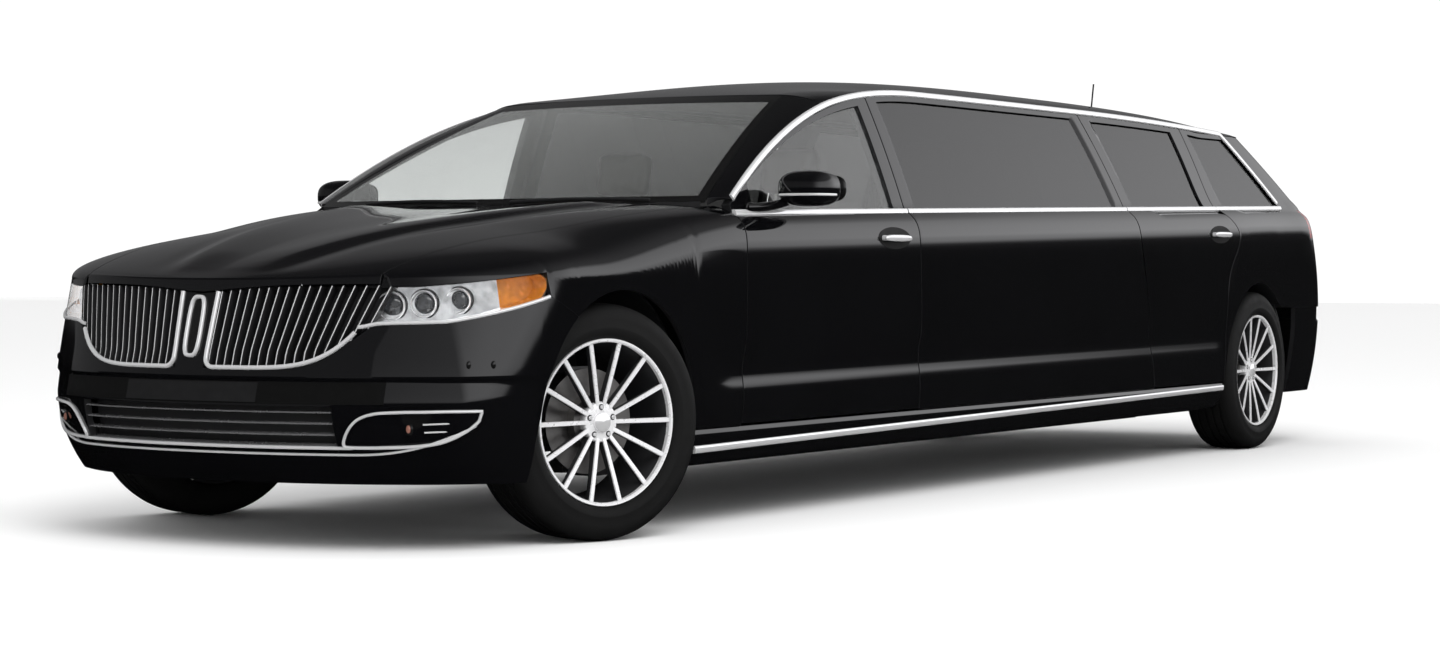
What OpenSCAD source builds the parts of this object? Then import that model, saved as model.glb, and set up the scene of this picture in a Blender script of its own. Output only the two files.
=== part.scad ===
// Stretch limousine on a crossover body: +X forward, +Y to the left, +Z up, millimetres.
// The origin is on the ground under the middle of the body.

/* [Length] */
// Front bumper to front axle
front_overhang = 950; // [920:5:980]
// Front axle to the leading edge of the front door
cowl_l = 715; // [690:5:750]
// Length of a front door
front_door_l = 1215; // [1150:5:1280]
// Length of the stretch panel between the doors
stretch_l = 2035; // [1400:5:2600]
// Length of a rear door
rear_door_l = 945; // [900:5:1000]
// Rear door's trailing edge to rear axle
rear_door_to_axle = 415; // [400:5:450]
// Rear axle to rear bumper
rear_overhang = 1125; // [1100:5:1160]

/* [Section] */
// Width over the body sides
body_w = 1930; // [1900:5:1960]
// Height of the roof's crown
roof_h = 1620; // [1600:5:1650]
// Height of the window-line at the front door's leading edge
belt_h = 1018; // [1005:1:1030]
// Rise of the window-line from there to the rear axle
belt_rise = 100; // [80:5:120]
// Widest line of the body below the window-line
shoulder_h = 190; // [170:5:205]
// Height of the top of the sills
sill_h = 325; // [315:1:335]
// Height of the hood's leading edge
nose_h = 810; // [800:1:820]
// Inward tuck of the side at the sill
tuck = 22; // [15:1:30]
// Depth of the hollow along the lower side
scallop = 14; // [8:1:18]
// Drop from the roof's crown to the upper edge of the side windows
rail_drop = 115; // [108:1:125]
// Foot of the side windows inside the body side
glass_inset = 60; // [53:1:70]
// Inward lean of the side windows from foot to upper edge
glass_lean = 173; // [160:1:185]

/* [Panels] */
// Thickness of a door or lower side wall
door_t = 110; // [100:1:120]
// Thickness of a window frame
frame_t = 42; // [36:1:48]
// Thickness of roof, hood and bumper shells
panel_t = 26; // [22:1:30]
// Gap round a moving panel
shut_gap = 6; // [5:0.5:7]
// Gap between pieces that are fixed together
seam = 0.4; // [0.3:0.05:0.6]
// Thickness of the glass
glass_t = 5; // [4:0.5:6]
// Depth of the glass behind the frame
glass_in = 14; // [10:1:18]

/* [Wheels] */
// Outer diameter of a tyre
tyre_d = 740; // [725:1:745]
// Width of a tyre
tyre_w = 245; // [225:5:250]
// Diameter of the rim's outer lip
rim_d = 524; // [505:1:530]
// Distance between the wheels' middle planes across the car
track = 1665; // [1650:1:1670]
// Radius of the wheel arches
arch_r = 410; // [405:1:415]
// Number of wheel spokes
spokes = 14; // [10:1:16]
// Angle of the front wheels, to the right
steer_rest = 18; // [0:1:20]
// Radius of the wheel spindles
spindle_r = 30; // [26:1:34]
// Radius of the kingpins
kingpin_r = 14; // [12:1:16]
// Kingpin to the wheel's middle plane
scrub = 88; // [85:1:92]
// Radial clearance of a pin in its bore
pin_fit = 0.06; // [0.04:0.01:0.09]

/* [Hinges] */
// Radius of the hinge pins
pin_r = 6; // [5:0.5:7]
// Hinge axis inside the widest line of the door
hinge_in = 20; // [18:1:22]
// Hinge axis behind the door's leading edge
hinge_back = 12; // [11:1:14]
// Height of the notch for a hinge eye
notch_h = 70; // [60:2:80]

/* [Grille] */
// Slats in each wing of the grille
slats = 17; // [12:1:20]
// Share of the pitch that a slat takes
slat_share = 0.42; // [0.3:0.02:0.5]
// Depth of the slats
slat_depth = 45; // [35:1:55]
// Half width of the painted divider between the wings
divider_w = 62; // [55:1:70]

/* [Hidden] */
$fn = 96;

// Stations along the car
body_l = front_overhang + cowl_l + front_door_l + stretch_l + rear_door_l + rear_door_to_axle
  + rear_overhang;
front_x = body_l/2;
rear_x = -body_l/2;
axle_f = front_x - front_overhang;
door_f0 = axle_f - cowl_l;
door_f1 = door_f0 - front_door_l;
door_r0 = door_f1 - stretch_l;
door_r1 = door_r0 - rear_door_l;
axle_r = door_r1 - rear_door_to_axle;
cowl_x = door_f0 + 193;
header_x = door_f0 - 795;
roof_end = axle_r - 385;
crown_x = (header_x + roof_end)/2 - 150;
arc_x = door_f1 - 420;
hub_z = tyre_d/2;

// Heights and widths that follow from them
cowl_h = belt_h + 47;
rail_h = roof_h - rail_drop;
header_h = rail_h - 22;
roof_end_h = roof_h - 65;
glass_w = body_w/2 - glass_inset;
rail_w = glass_w - glass_lean;
cowl_w = glass_w - 78;
header_w = rail_w - 126;
roof_w = rail_w - 78;
hood_w = glass_w - 302;
hood_edge_t = 12;
lamp_top = nose_h - hood_edge_t - shut_gap;
screen_bow = 143;
hood_fall = 120;
corner_f = 580;
corner_r = 420;
hood_line_x = front_x - 252;
floor_z = 235;
floor_t = 40;
rear_floor_z = 520;
side_depth = 165;
inner_w = body_w/2 - side_depth;
rail_y = 440;
rail_b = 80;

function mix(a, b, t) = a + (b - a)*t;
function unit(t) = max(0, min(1, t));
function ease(t) = let (c = unit(t)) c*c*(3 - 2*c);
function span(n) = [for (i = [0:n]) i/n];
function above(v, p) = pow(max(0, v), p);

// Lines of the body as functions of the station
function belt_z(x) = belt_h + belt_rise*(door_f0 - x)/(door_f0 - axle_r);
function hood_z(x) = let (t = (x - cowl_x)/(front_x - 90 - cowl_x))
  cowl_h - hood_fall*t - (cowl_h - hood_fall - nose_h - 5)*pow(t, 3);
function waist_z(x) = x <= door_f0 ? belt_z(x) - shoulder_h
  : mix(belt_h - shoulder_h, nose_h, unit((x - door_f0)/(front_x - 90 - door_f0)));
function half_w(x) = body_w/2 - 10*ease((x - door_f0)/1000) - 22*ease((door_r1 - x)/900);
function crown_h(x) = hood_z(max(x, door_f0)) - waist_z(max(x, door_f0));
function crown_e(x) = mix(5.5, 2.5, ease((x - door_f0)/(cowl_l + 150)));
function top_z(x) = x > arc_x
  ? rail_h - (rail_h - belt_h - 40)*pow((x - arc_x)/(door_f0 - arc_x), 2.3)
  : rail_h - 30*pow(unit((crown_x - x)/(crown_x - axle_r)), 2);
function hood_y(x) = mix(cowl_w, hood_w, (x - door_f0 - 50)/(hood_line_x - door_f0 - 50));

// Nose and tail on the centre line
function nose_x(z) = front_x - (z > 450 ? 0.25*(z - 450) : 100*pow((450 - z)/250, 2));
function tail_x(z) = rear_x + (z < 600 ? 80*pow((600 - z)/350, 2)
  : z < belt_h + 82 ? 140*pow((z - 600)/(belt_h - 518), 2)
  : 140 + (z - belt_h - 82)*(roof_end - rear_x - 155)/(roof_end_h - belt_h - 82));

// Half width of the outer skin at station x and height z
function inset(x, z) = let (t = above((waist_z(x) - z)/(waist_z(x) - sill_h), 1),
  f = ease((axle_f - 350 - x)/300)*ease((x - axle_r - 330)/200))
  tuck*pow(t, 2.4) + f*scallop*exp(-pow((t - 0.62)/0.13, 2));
function glass_y(x, z) = let (t = (z - belt_z(x))/(rail_h - belt_z(x)))
  mix(glass_w, rail_w, 0.8*t + 0.2*t*t);
function corner(w, x, z) = let (a = nose_x(z) - corner_f, b = tail_x(z) + corner_r)
  x > a ? w*pow(above(1 - pow((x - a)/corner_f, 2.1), 1), 1/2.1)
  : x < b ? w*pow(above(1 - pow((b - x)/corner_r, 3), 1), 1/3) : w;
function skin_y(x, z) = let (w = half_w(x), s = waist_z(x), e = crown_e(x))
  z <= s ? corner(w - inset(x, z), x, z)
  : z <= belt_z(x) + 1 || x > door_f0
  ? corner(w, x, x > door_f0 ? s : z)*pow(above(1 - pow((z - s)/crown_h(x), e), 1), 1/e)
  : corner(glass_y(x, z), x, z);
function nose_pt(y, z) = let (a = nose_x(z) - corner_f, w = half_w(a) - inset(a, z))
  a + corner_f*pow(above(1 - pow(abs(y)/w, 2.1), 1), 1/2.1);
function tail_w(z) = let (b = tail_x(z) + corner_r)
  z <= waist_z(b) ? half_w(b) - inset(b, z) : z <= belt_z(b) ? half_w(b) - 20 : glass_y(b, z);
function tail_pt(y, z) = tail_x(z) + corner_r
  - corner_r*pow(above(1 - pow(min(1, abs(y)/tail_w(z)), 3), 1), 1/3);

// Closed solid between two grids of points; cells where keep(i, j) is false stay open
module shell(outer, inner, keep = function (i, j) true) {
  n = len(outer);
  m = len(outer[0]);
  pts = [for (r = outer) each r, for (r = inner) each r];
  o = n*m;
  at = function (i, j) i*m + j;
  has = function (i, j) i >= 0 && j >= 0 && i < n - 1 && j < m - 1 && keep(i, j);
  faces = [for (i = [0:n - 2]) for (j = [0:m - 2]) if (keep(i, j))
    let (a = at(i, j), b = at(i + 1, j), c = at(i + 1, j + 1), d = at(i, j + 1))
    each concat([[a, b, c], [a, c, d], [a + o, c + o, b + o], [a + o, d + o, c + o]],
      has(i - 1, j) ? [] : [[a, d, d + o], [a, d + o, a + o]],
      has(i + 1, j) ? [] : [[b, b + o, c + o], [b, c + o, c]],
      has(i, j - 1) ? [] : [[a, a + o, b + o], [a, b + o, b]],
      has(i, j + 1) ? [] : [[d, c, c + o], [d, c + o, d + o]])];
  i0 = floor((n - 1)/2);
  j0 = floor((m - 1)/2);
  mid = outer[i0][j0];
  turned = cross(outer[i0 + 1][j0] - mid, outer[i0][j0 + 1] - mid)*(mid - inner[i0][j0]) > 0;
  used = search_used(faces, len(pts));
  index = [for (i = 0, k = 0; i < len(pts); k = k + (used[i] ? 1 : 0), i = i + 1) k];
  polyhedron([for (i = [0:len(pts) - 1]) if (used[i]) pts[i]],
    [for (f = faces) [for (v = turned ? [f[2], f[1], f[0]] : f) index[v]]], convexity = 6);
}
function search_used(faces, n) = let (all = [for (f = faces) each f])
  [for (h = search([for (i = [0:n - 1]) i], all)) h != []];
module both_sides() {
  children();
  mirror([0, 1, 0]) children();
}
module box(low, high) translate(low) cube(high - low);

// Side panels: rows from sill to window-line to roof rail, columns between two edges
LOW_ROWS = [0, 0.12, 0.26, 0.4, 0.56, 0.72, 0.88, 1];
UP_ROWS = [1.05, 1.2, 1.5, 1.8, 1.94, 2];
ROWS = concat(LOW_ROWS, UP_ROWS);
window_row = len(LOW_ROWS);
window_top = len(ROWS) - 2;
function row_z(L, x, low, top) = L <= 1 ? mix(low, belt_z(x), L) : mix(belt_z(x), top, L - 1);
function side_outer(x0, x1, cols, low, top) = [for (f = cols)
  let (n = mix(x0(belt_h), x1(belt_h), f), z1 = top(n), t = mix(x0(z1), x1(z1), f))
  [for (L = ROWS) let (z = row_z(L, n, low(n), top(t)), x = mix(x0(z), x1(z), f)) [x, skin_y(x, z), z]]];
function wall_t(L) = L <= 1 ? door_t : frame_t;
function side_inner(outer, in0, in1, cols) = [for (i = [0:len(outer) - 1])
  [for (j = [0:len(ROWS) - 1]) let (p = outer[i][j])
    [p.x + mix(in0(p.z), 0, unit(cols[i]*8)) + mix(0, in1(p.z), unit(1 - (1 - cols[i])*8)),
     p.y - wall_t(ROWS[j]), p.z]]];
function pane_open(c) = function (i, j) i < c[0] || i >= c[1] || j < window_row || j >= window_top;
pane_gap = 3;
function pane_grid(outer, inner, c0, c1, depth) = [for (i = [c0:c1]) [for (j = [window_row:window_top])
  mix(outer[i][j], inner[i][j], depth/wall_t(ROWS[j])) + [(i == c0 ? -pane_gap : i == c1 ? pane_gap : 0), 0,
    (j == window_row ? seam : j == window_top ? -seam : 0)]]];
module pane(outer, inner, c) shell(pane_grid(outer, inner, c[0], c[1], glass_in),
  pane_grid(outer, inner, c[0], c[1], glass_in + glass_t));

// Edges of the side panels
function front_edge(z) = door_f0;
function post_edge(z) = door_f1 + 0.05*(z - 850);
function rear_edge(z) = door_r0 + 0.3*(z - 850);
function rear_end(z) = door_r1 - 140*exp(-pow((z - 990)/120, 2)) + 60*ease((z - 1000)/150);
function quarter_end(z) = tail_pt(gate_y(z), z) + shut_gap;
function gate_y(z) = tail_w(z)*0.8;
front_axis_x = door_f0 - hinge_back;
rear_axis_x = rear_edge(600) - hinge_back;
axis_y = body_w/2 - hinge_in;
HINGE_Z = [660, 860];

front_cols = [0, 0.04, 0.12, 0.25, 0.4, 0.55, 0.7, 0.82, 0.935, 1];
rear_cols = [0, 0.09, 0.22, 0.36, 0.5, 0.64, 0.78, 0.89, 1];
mid_cols = [0, 0.04, 0.16, 0.28, 0.4, 0.52, 0.64, 0.76, 0.88, 0.96, 1];
FRONT_PANE = [2, 8];
REAR_PANE = [1, 7];
MID_PANE = [1, 9];
door_low = function (x) sill_h + shut_gap;
fixed_low = function (x) sill_h + seam;
fixed_top = function (x) top_z(x) + shut_gap - 4*seam;
front_outer = side_outer(function (z) front_edge(z), function (z) post_edge(z) + shut_gap/2, front_cols,
  door_low, function (x) top_z(x));
rear_outer = side_outer(function (z) rear_edge(z) - shut_gap/2, function (z) rear_end(z) + shut_gap/2,
  rear_cols, door_low, function (x) top_z(x));
mid_outer = side_outer(function (z) post_edge(z) - shut_gap/2, function (z) rear_edge(z) + shut_gap/2,
  mid_cols, fixed_low, fixed_top);

end_slant = 22;
front_inner = side_inner(front_outer, function (z) front_axis_x - front_edge(z), function (z) end_slant,
  front_cols);
swing_share = 0.6;
function rear_end_run(z) = let (d = rear_axis_x - rear_edge(z) + shut_gap/2) d > 0 ? swing_share*d : d;
rear_inner = side_inner(rear_outer, function (z) rear_end_run(z),
  function (z) end_slant, rear_cols);
mid_inner = side_inner(mid_outer, function (z) 0, function (z) door_t, mid_cols);
module door(outer, inner, open, axis_x, edge) {
  difference() {
    shell(outer, inner, open);
    for (z = HINGE_Z) box([axis_x - 18, axis_y - door_t - 40, z - notch_h/2],
      [edge(z) + 40, axis_y + pin_r + 4, z + notch_h/2]);
  }
  for (z = HINGE_Z) translate([axis_x, axis_y, z - notch_h/2 - 8]) cylinder(r = pin_r, h = notch_h + 16);
}
module front_door() door(front_outer, front_inner, pane_open(FRONT_PANE), front_axis_x,
  function (z) front_edge(z));
module rear_door() door(rear_outer, rear_inner, pane_open(REAR_PANE), rear_axis_x,
  function (z) rear_edge(z) - shut_gap/2);
module front_door_left() color("#101114") front_door();
module front_door_right() color("#101114") mirror([0, 1, 0]) front_door();
module rear_door_left() color("#101114") rear_door();
module rear_door_right() color("#101114") mirror([0, 1, 0]) rear_door();
module front_door_glass_left() color("#8a9298") pane(front_outer, front_inner, FRONT_PANE);
module front_door_glass_right() mirror([0, 1, 0]) front_door_glass_left();
module rear_door_glass_left() color("#1c1f22") pane(rear_outer, rear_inner, REAR_PANE);
module rear_door_glass_right() mirror([0, 1, 0]) rear_door_glass_left();

module side_panels() color("#101114") both_sides() shell(mid_outer, mid_inner, pane_open(MID_PANE));

// Rear quarter: the arch cuts its lower edge, the tail lamp and the quarter pane open it
quarter_flat = [0, 0.045, 0.12, 0.3, 0.5, 0.72, 0.86, 1];
quarter_turn = [0.3, 0.55, 0.78, 1];
QUARTER_PANE = [2, 6];
function arch_z(x, axle) = let (d = arch_r*arch_r - pow(x - axle, 2)) d > 0 ? hub_z + sqrt(d) : 0;
function quarter_low(x) = x < axle_r - arch_r*0.75 ? rear_bumper_top + seam
  : max(sill_h + seam, arch_z(x, axle_r));
rear_bumper_top = 660;
function quarter_top(x) = top_z(x) + shut_gap - 2*seam;
quarter_start = function (z) rear_end(z) - shut_gap/2;
function quarter_x(f, z) = mix(quarter_start(z), tail_x(z) + corner_r, f);
quarter_outer = concat(
  [for (f = quarter_flat) let (n = quarter_x(f, 700), low = quarter_low(n))
    [for (L = ROWS) let (z = row_z(L, n, low, quarter_top(n)), k = unit((z - low)/200),
      x = mix(n, quarter_x(f, z), k)) [x, skin_y(x, z), z]]],
  [for (g = quarter_turn) let (n = quarter_x(1, 700), low = quarter_low(n))
    [for (L = ROWS) let (z = row_z(L, n, low, quarter_top(n)),
      y = gate_y(z) + shut_gap, w = tail_w(z), a0 = acos(min(1, pow(y/w, 1.5))), a = mix(0, a0, g),
      b = tail_x(z) + corner_r)
      [b - corner_r*pow(sin(a), 2/3), w*pow(cos(a), 2/3), z]]]);
quarter_n = len(quarter_flat) + len(quarter_turn);
quarter_inner = [for (i = [0:quarter_n - 1])
  let (k = unit((i - len(quarter_flat) + 2)/(len(quarter_turn) + 1)))
  [for (j = [0:len(ROWS) - 1]) let (p = quarter_outer[i][j], t = wall_t(ROWS[j]))
    [p.x + t*sin(90*k), p.y - t*cos(90*k), p.z]]];
LAMP_COLS = [8, 10];
LAMP_ROWS = [5, 7];
quarter_keep = function (i, j) pane_open(QUARTER_PANE)(i, j)
  && !(i >= LAMP_COLS[0] && i < LAMP_COLS[1] && j >= LAMP_ROWS[0] && j < LAMP_ROWS[1]);
module quarters() color("#101114") both_sides() shell(quarter_outer, quarter_inner, quarter_keep);
patch_fit = 0.006;
function patch(g, cols, rows) = [for (i = [cols[0]:cols[1]]) [for (j = [rows[0]:rows[1]])
  let (di = i == cols[0] || i == cols[1] ? patch_fit : 0, dj = j == rows[0] || j == rows[1] ? patch_fit : 0,
    p = g[i][j], q = g[cols[0] + cols[1] - i][j], r = g[i][rows[0] + rows[1] - j])
  p + di*(q - p) + dj*(r - p)]];
module tail_lamps() color("#a01018") both_sides()
  shell(patch(quarter_outer, LAMP_COLS, LAMP_ROWS), patch(quarter_inner, LAMP_COLS, LAMP_ROWS));
module side_glass() color("#1c1f22") both_sides() {
  pane(mid_outer, mid_inner, MID_PANE);
  pane(quarter_outer, quarter_inner, QUARTER_PANE);
}

// Front fender: sections at constant station from the arch up to the hood line
lamp_tip_x = front_x - 574;
lamp_rise = 44;
tip_low = 762;
tip_round = 8;
function lamp_hi(x) = lamp_top + lamp_rise*unit((hood_line_x - x)/(hood_line_x - lamp_tip_x));
seam_x = axle_f + 243;
fender_tip_x = hood_line_x - 12;
fender_xs = concat([for (f = span(5)) mix(door_f0 + shut_gap, axle_f - 380, f)],
  [for (f = [0.12, 0.3, 0.5, 0.7, 0.88, 1]) mix(axle_f - 380, seam_x, f)],
  [for (f = [0.33, 0.66, 1]) mix(seam_x, lamp_tip_x, f)], [lamp_tip_x + 11.5],
  [for (f = [0.25, 0.5, 0.75, 1]) mix(lamp_tip_x, fender_tip_x, f)], [fender_tip_x + 26, fender_tip_x + 46]);
fender_rows = span(9);
function fender_low(x) = x < axle_f - arch_r*0.99 ? sill_h + seam
  : x <= seam_x ? max(sill_h + seam, arch_z(x, axle_f)) : side_seam(x) + seam;
function side_seam(x) = x > lamp_tip_x + 1 ? lamp_hi(x)
  : mix(arch_z(seam_x, axle_f), tip_low, unit((x - seam_x)/(lamp_tip_x - seam_x)));
function section_pt(x, t) = let (s = waist_z(x), e = crown_e(x), w = corner(half_w(x), x, s))
  t < 0 ? let (z = s + t*(s - 200)) [x, skin_y(x, z), z]
  : [x, w*pow(cos(90*t), 2/e), s + crown_h(x)*pow(sin(90*t), 2/e)];
function section_low(x) = let (z = fender_low(x), s = waist_z(x))
  z < s ? (z - s)/(s - 200) : asin(pow((z - s)/crown_h(x), crown_e(x)/2))/90;
function section_top(x) = let (w = corner(half_w(x), x, waist_z(x)))
  acos(min(1, pow(hood_y(x)/w, crown_e(x)/2)))/90;
fender_outer = [for (x = fender_xs) [for (f = fender_rows)
  section_pt(x, mix(section_low(x), section_top(x), f))]];
fender_inner = [for (i = [0:len(fender_xs) - 1]) [for (j = [0:len(fender_rows) - 1])
  let (p = fender_outer[i][j], a = 90*ease((fender_rows[j] - 0.45)/0.55),
    back = i == 0 ? 2*panel_t : 0, t = panel_t*mix(1, 0.35, unit((p.x - fender_tip_x)/26)))
  [p.x + back, p.y - t*cos(a), p.z - t*sin(a)]]];
module fenders() color("#101114") both_sides() shell(fender_outer, fender_inner);

// Hood: crowned lid between the hood lines, on two lugs at its rear corners
cowl_strip = 16;
strip_in = 14;
strip_drop = 50;
hood_gap = 40;
function hood_surface(x, y) = let (w = corner(half_w(x), x, waist_z(x)), e = crown_e(x))
  waist_z(x) + crown_h(x)*pow(above(1 - pow(min(1, abs(y)/w), e), 1), 1/e);
function hood_rear(w) = cowl_x - screen_bow*w*w + cowl_strip + hood_gap;
function hood_front(w) = nose_pt(w*hood_w, nose_h) - 8;
hood_ws = [-1, -0.85, -0.68, -0.5, -0.32, -0.16, 0, 0.16, 0.32, 0.5, 0.68, 0.85, 1];
hood_fs = [0, 0.15, 0.32, 0.5, 0.66, 0.8, 0.9, 0.96, 1];
hood_outer = [for (w = hood_ws) [for (f = hood_fs) let (x = mix(hood_rear(w), hood_front(w), f),
  y = w*(hood_y(x) - shut_gap)) [x, y, hood_surface(x, y)]]];
hood_inner = [for (c = hood_outer) [for (j = [0:len(hood_fs) - 1])
  c[j] - [0, 0, mix(panel_t, hood_edge_t, ease((hood_fs[j] - 0.7)/0.3))]]];
lug_y = cowl_w - 57;
lug_w = 24;
lug_r = pin_r + 4;
lug_gap = 8;
hood_axis = [cowl_x - 63, 0, hood_surface(cowl_x - 63, lug_y) - panel_t - lug_r - lug_gap];
module hood_pin(r, h) translate([hood_axis.x, lug_y - h/2, hood_axis.z]) rotate([-90, 0, 0])
  cylinder(r = r, h = h);
module hood() color("#101114") difference() {
  union() {
    shell(hood_outer, hood_inner);
    both_sides() {
      hood_pin(lug_r, lug_w);
      box([hood_axis.x, lug_y - lug_w/2, hood_axis.z - lug_r + 4],
        [hood_axis.x + 40, lug_y + lug_w/2, hood_axis.z + lug_r + lug_gap + panel_t/2]);
    }
  }
  both_sides() hood_pin(pin_r + pin_fit, 2*lug_w);
}

// Cowl strip, firewall and the hood's hinge brackets
function screen_pt(u, v) = let (b = [cowl_x - screen_bow*u*u, u*cowl_w, cowl_h + 5*u*u],
  t = [header_x - 18*u*u, u*header_w, header_h - 9*u*u]) b + (t - b)*v + [0, 0, 22*4*v*(1 - v)];
screen_us = [-1, -0.85, -0.65, -0.4, -0.2, 0, 0.2, 0.4, 0.65, 0.85, 1];
cowl_outer = [for (u = screen_us) let (p = screen_pt(u, 0))
  [for (k = [1, 0.5, 0]) p + [mix(cowl_strip, seam + screen_bow*2*strip_in/cowl_w*u*u, k), -u*strip_in,
    mix(-strip_drop, -seam, k)]]];
wall_back = 30;
wall_x = door_f0 + wall_back;
wall_t0 = 30;
wall_top = cowl_h - 130;
shelf_y = cowl_w - 140;
bracket_t = 8;
module cowl() color("#18191b") {
  shell(cowl_outer, [for (r = cowl_outer) [for (p = r) p - [0, 0, 40]]]);
  box([wall_x, -inner_w + 20, floor_z + floor_t], [wall_x + wall_t0, inner_w - 20, wall_top]);
  translate([0, shelf_y, 0]) rotate([90, 0, 0]) linear_extrude(2*shelf_y)
    polygon([[wall_x + 2, wall_top - 20], [wall_x + wall_t0 - 2, wall_top - 20], [wall_x + 70, cowl_h - 62],
      [cowl_x + 22, cowl_h - 62], [cowl_x + 22, cowl_h - 46], [wall_x + 34, cowl_h - 46]]);
  both_sides() {
    for (s = [-1, 1]) let (y = lug_y + s*(lug_w/2 + bracket_t)) {
      box([wall_x + 4, y - bracket_t/2, wall_top - 30],
        [hood_axis.x + lug_r, y + bracket_t/2, wall_top + 15]);
      box([hood_axis.x - lug_r, y - bracket_t/2, wall_top - 30],
        [hood_axis.x + lug_r, y + bracket_t/2, hood_axis.z]);
      translate([hood_axis.x, y - bracket_t/2, hood_axis.z]) rotate([-90, 0, 0])
        cylinder(r = lug_r, h = bracket_t);
    }
    hood_pin(pin_r, lug_w + 3*bracket_t);
  }
}
screen_t = 6;
module windscreen() color("#8a9298") {
  outer = [for (u = screen_us) [for (v = span(6)) screen_pt(u, v)]];
  shell(outer, [for (r = outer) [for (p = r) p - [0, 0, screen_t]]]);
}

// A-pillars and roof rails: strips between the window edge and the roof or windscreen
function roof_y(x) = mix(header_w, roof_w, ease((header_x - x)/700)) - 62*ease((axle_r + 500 - x)/900);
function roof_line(x) = x > crown_x
  ? roof_h - (roof_h - header_h)*pow((x - crown_x)/(header_x - crown_x), 3)
  : roof_h - (roof_h - roof_end_h)*pow((crown_x - x)/(crown_x - roof_end), 3);
function roof_z(x, y) = roof_line(x) - mix(9, 70, ease((header_x - x)/900))*pow(abs(y)/roof_y(x), 2.2);
function rail_in(x) = let (v = (door_f0 - x)/(door_f0 - header_x + 70)) v <= 1
  ? screen_pt(1, v) + [0, seam, 0]
  : let (r = mix(x + 52, x, unit((header_x - 70 - x)/400))) [r, roof_y(r) + seam, roof_z(r, roof_y(r))];
function rail_out(x) = let (z = top_z(x) + shut_gap) [x, skin_y(x, min(z, top_z(x))), z];
function rail_row(x) = let (a = rail_out(x), b = rail_in(x), d = b - a, up = [0, 0.35*norm(d), 0.35*norm(d)]/2)
  [for (k = [0, 0.3, 0.65, 1]) a + d*k + up*k*(1 - k)*1.2];
function rail_low(x) = let (r = rail_row(x), k = mix(1, 0.3, unit((axle_r - 200 - x)/100))) [for (i = [0:3])
  r[i] - [0, [frame_t, frame_t*0.8, frame_t*0.4, 0][i], k*[0, 12, 20, panel_t][i]]];
module strip(xs) shell([for (x = xs) rail_row(x)], [for (x = xs) rail_low(x)]);
roof_lip = 30;
roof_start = screen_pt(1, 1).x - seam;
roof_fs = [0, 0.025, 0.05, 0.08, 0.12, 0.16, 0.2, 0.32, 0.46, 0.6, 0.74, 0.86, 0.94,
  (roof_start - roof_end - roof_lip)/(roof_start - roof_end), 1];
function rail_at(r) = r < header_x - 470 ? r : (r + 52*(header_x - 470)/400)/(1 + 52/400);
rail_xs = [for (i = [0:len(roof_fs) - 2]) rail_at(mix(roof_start, roof_end, roof_fs[i]))];
module a_pillars() color("#101114") both_sides()
  strip([for (f = span(8)) mix(door_f0 - 20, rail_xs[0] + seam, f)]);
module roof_rails() color("#101114") both_sides() strip(rail_xs);
roof_us = [-1, -0.8, -0.55, -0.28, 0, 0.28, 0.55, 0.8, 1];
roof_slant = 25;
module roof() color("#101114") {
  outer = [for (u = roof_us) [for (f = roof_fs)
    let (x = mix(screen_pt(u, 1).x - seam, roof_end, f), y = u*roof_y(x)) [x, y, roof_z(x, y)]]];
  last = len(roof_fs) - 1;
  shell(outer, [for (r = outer) [for (j = [0:last]) r[j] + [j == last ? roof_slant : 0, 0, -panel_t]]]);
  for (y = GATE_HINGES) difference() {
    union() {
      gate_pin(y, pin_r + 4, gate_notch/2);
      box([gate_axis.x, y - gate_notch/4, gate_axis.z - pin_r - 2],
        [roof_end + 90, y + gate_notch/4, gate_axis.z + 4]);
    }
    gate_pin(y, pin_r + pin_fit, gate_notch);
  }
}
mast_l = 178;
foot_r = 16;
module antenna() color("#0c0c0d") {
  foot = [axle_r - 170, 0, roof_z(axle_r - 170 + foot_r, 0) + seam];
  translate(foot) cylinder(r = foot_r, h = 14);
  translate(foot + [0, 0, 10]) rotate([0, -12, 0]) cylinder(r = 4, h = mast_l);
}

// Tailgate and its glass
gate_us = [-1, -0.8, -0.5, -0.2, 0, 0.2, 0.5, 0.8, 1];
gate_low = rear_bumper_top + shut_gap;
gate_top_gap = 14;
gate_high = roof_end_h - gate_top_gap;
gate_glass = [belt_h + 132, roof_h - 130];
GATE_STEPS = [94/484, 214/484, 334/484, 424/484];
GLASS_STEPS = [80/340, 0.5, 260/340];
gate_zs = concat([gate_low], [for (k = GATE_STEPS) mix(gate_low, gate_glass[0], k)], [gate_glass[0]],
  [for (k = GLASS_STEPS) mix(gate_glass[0], gate_glass[1], k)], [gate_glass[1], gate_high]);
function gate_top(u) = roof_z(roof_end, u*gate_y(gate_high)) - gate_top_gap;
function gate_pt(u, h) = let (g = gate_glass[0], k = (gate_top(u) - g)/(gate_high - g),
  z = h > g ? g + (h - g)*k : h, y = u*gate_y(z)) [tail_pt(y, z), y, z];
gate_outer = [for (u = gate_us) [for (z = gate_zs) gate_pt(u, z)]];
gate_inner = [for (r = gate_outer) [for (p = r) p + [mix(70, 34, unit((p.z - 1000)/150)), 0, 0]]];
gate_keep = function (i, j) !(i >= 1 && i < len(gate_us) - 2 && j >= 5 && j < 9);
gate_axis = [tail_x(gate_high) + 8, 0, gate_high - 14];
GATE_HINGES = [-170, 170];
gate_notch = 60;
module gate_pin(y, r, h) translate([gate_axis.x, y - h/2, gate_axis.z]) rotate([-90, 0, 0])
  cylinder(r = r, h = h);
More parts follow.
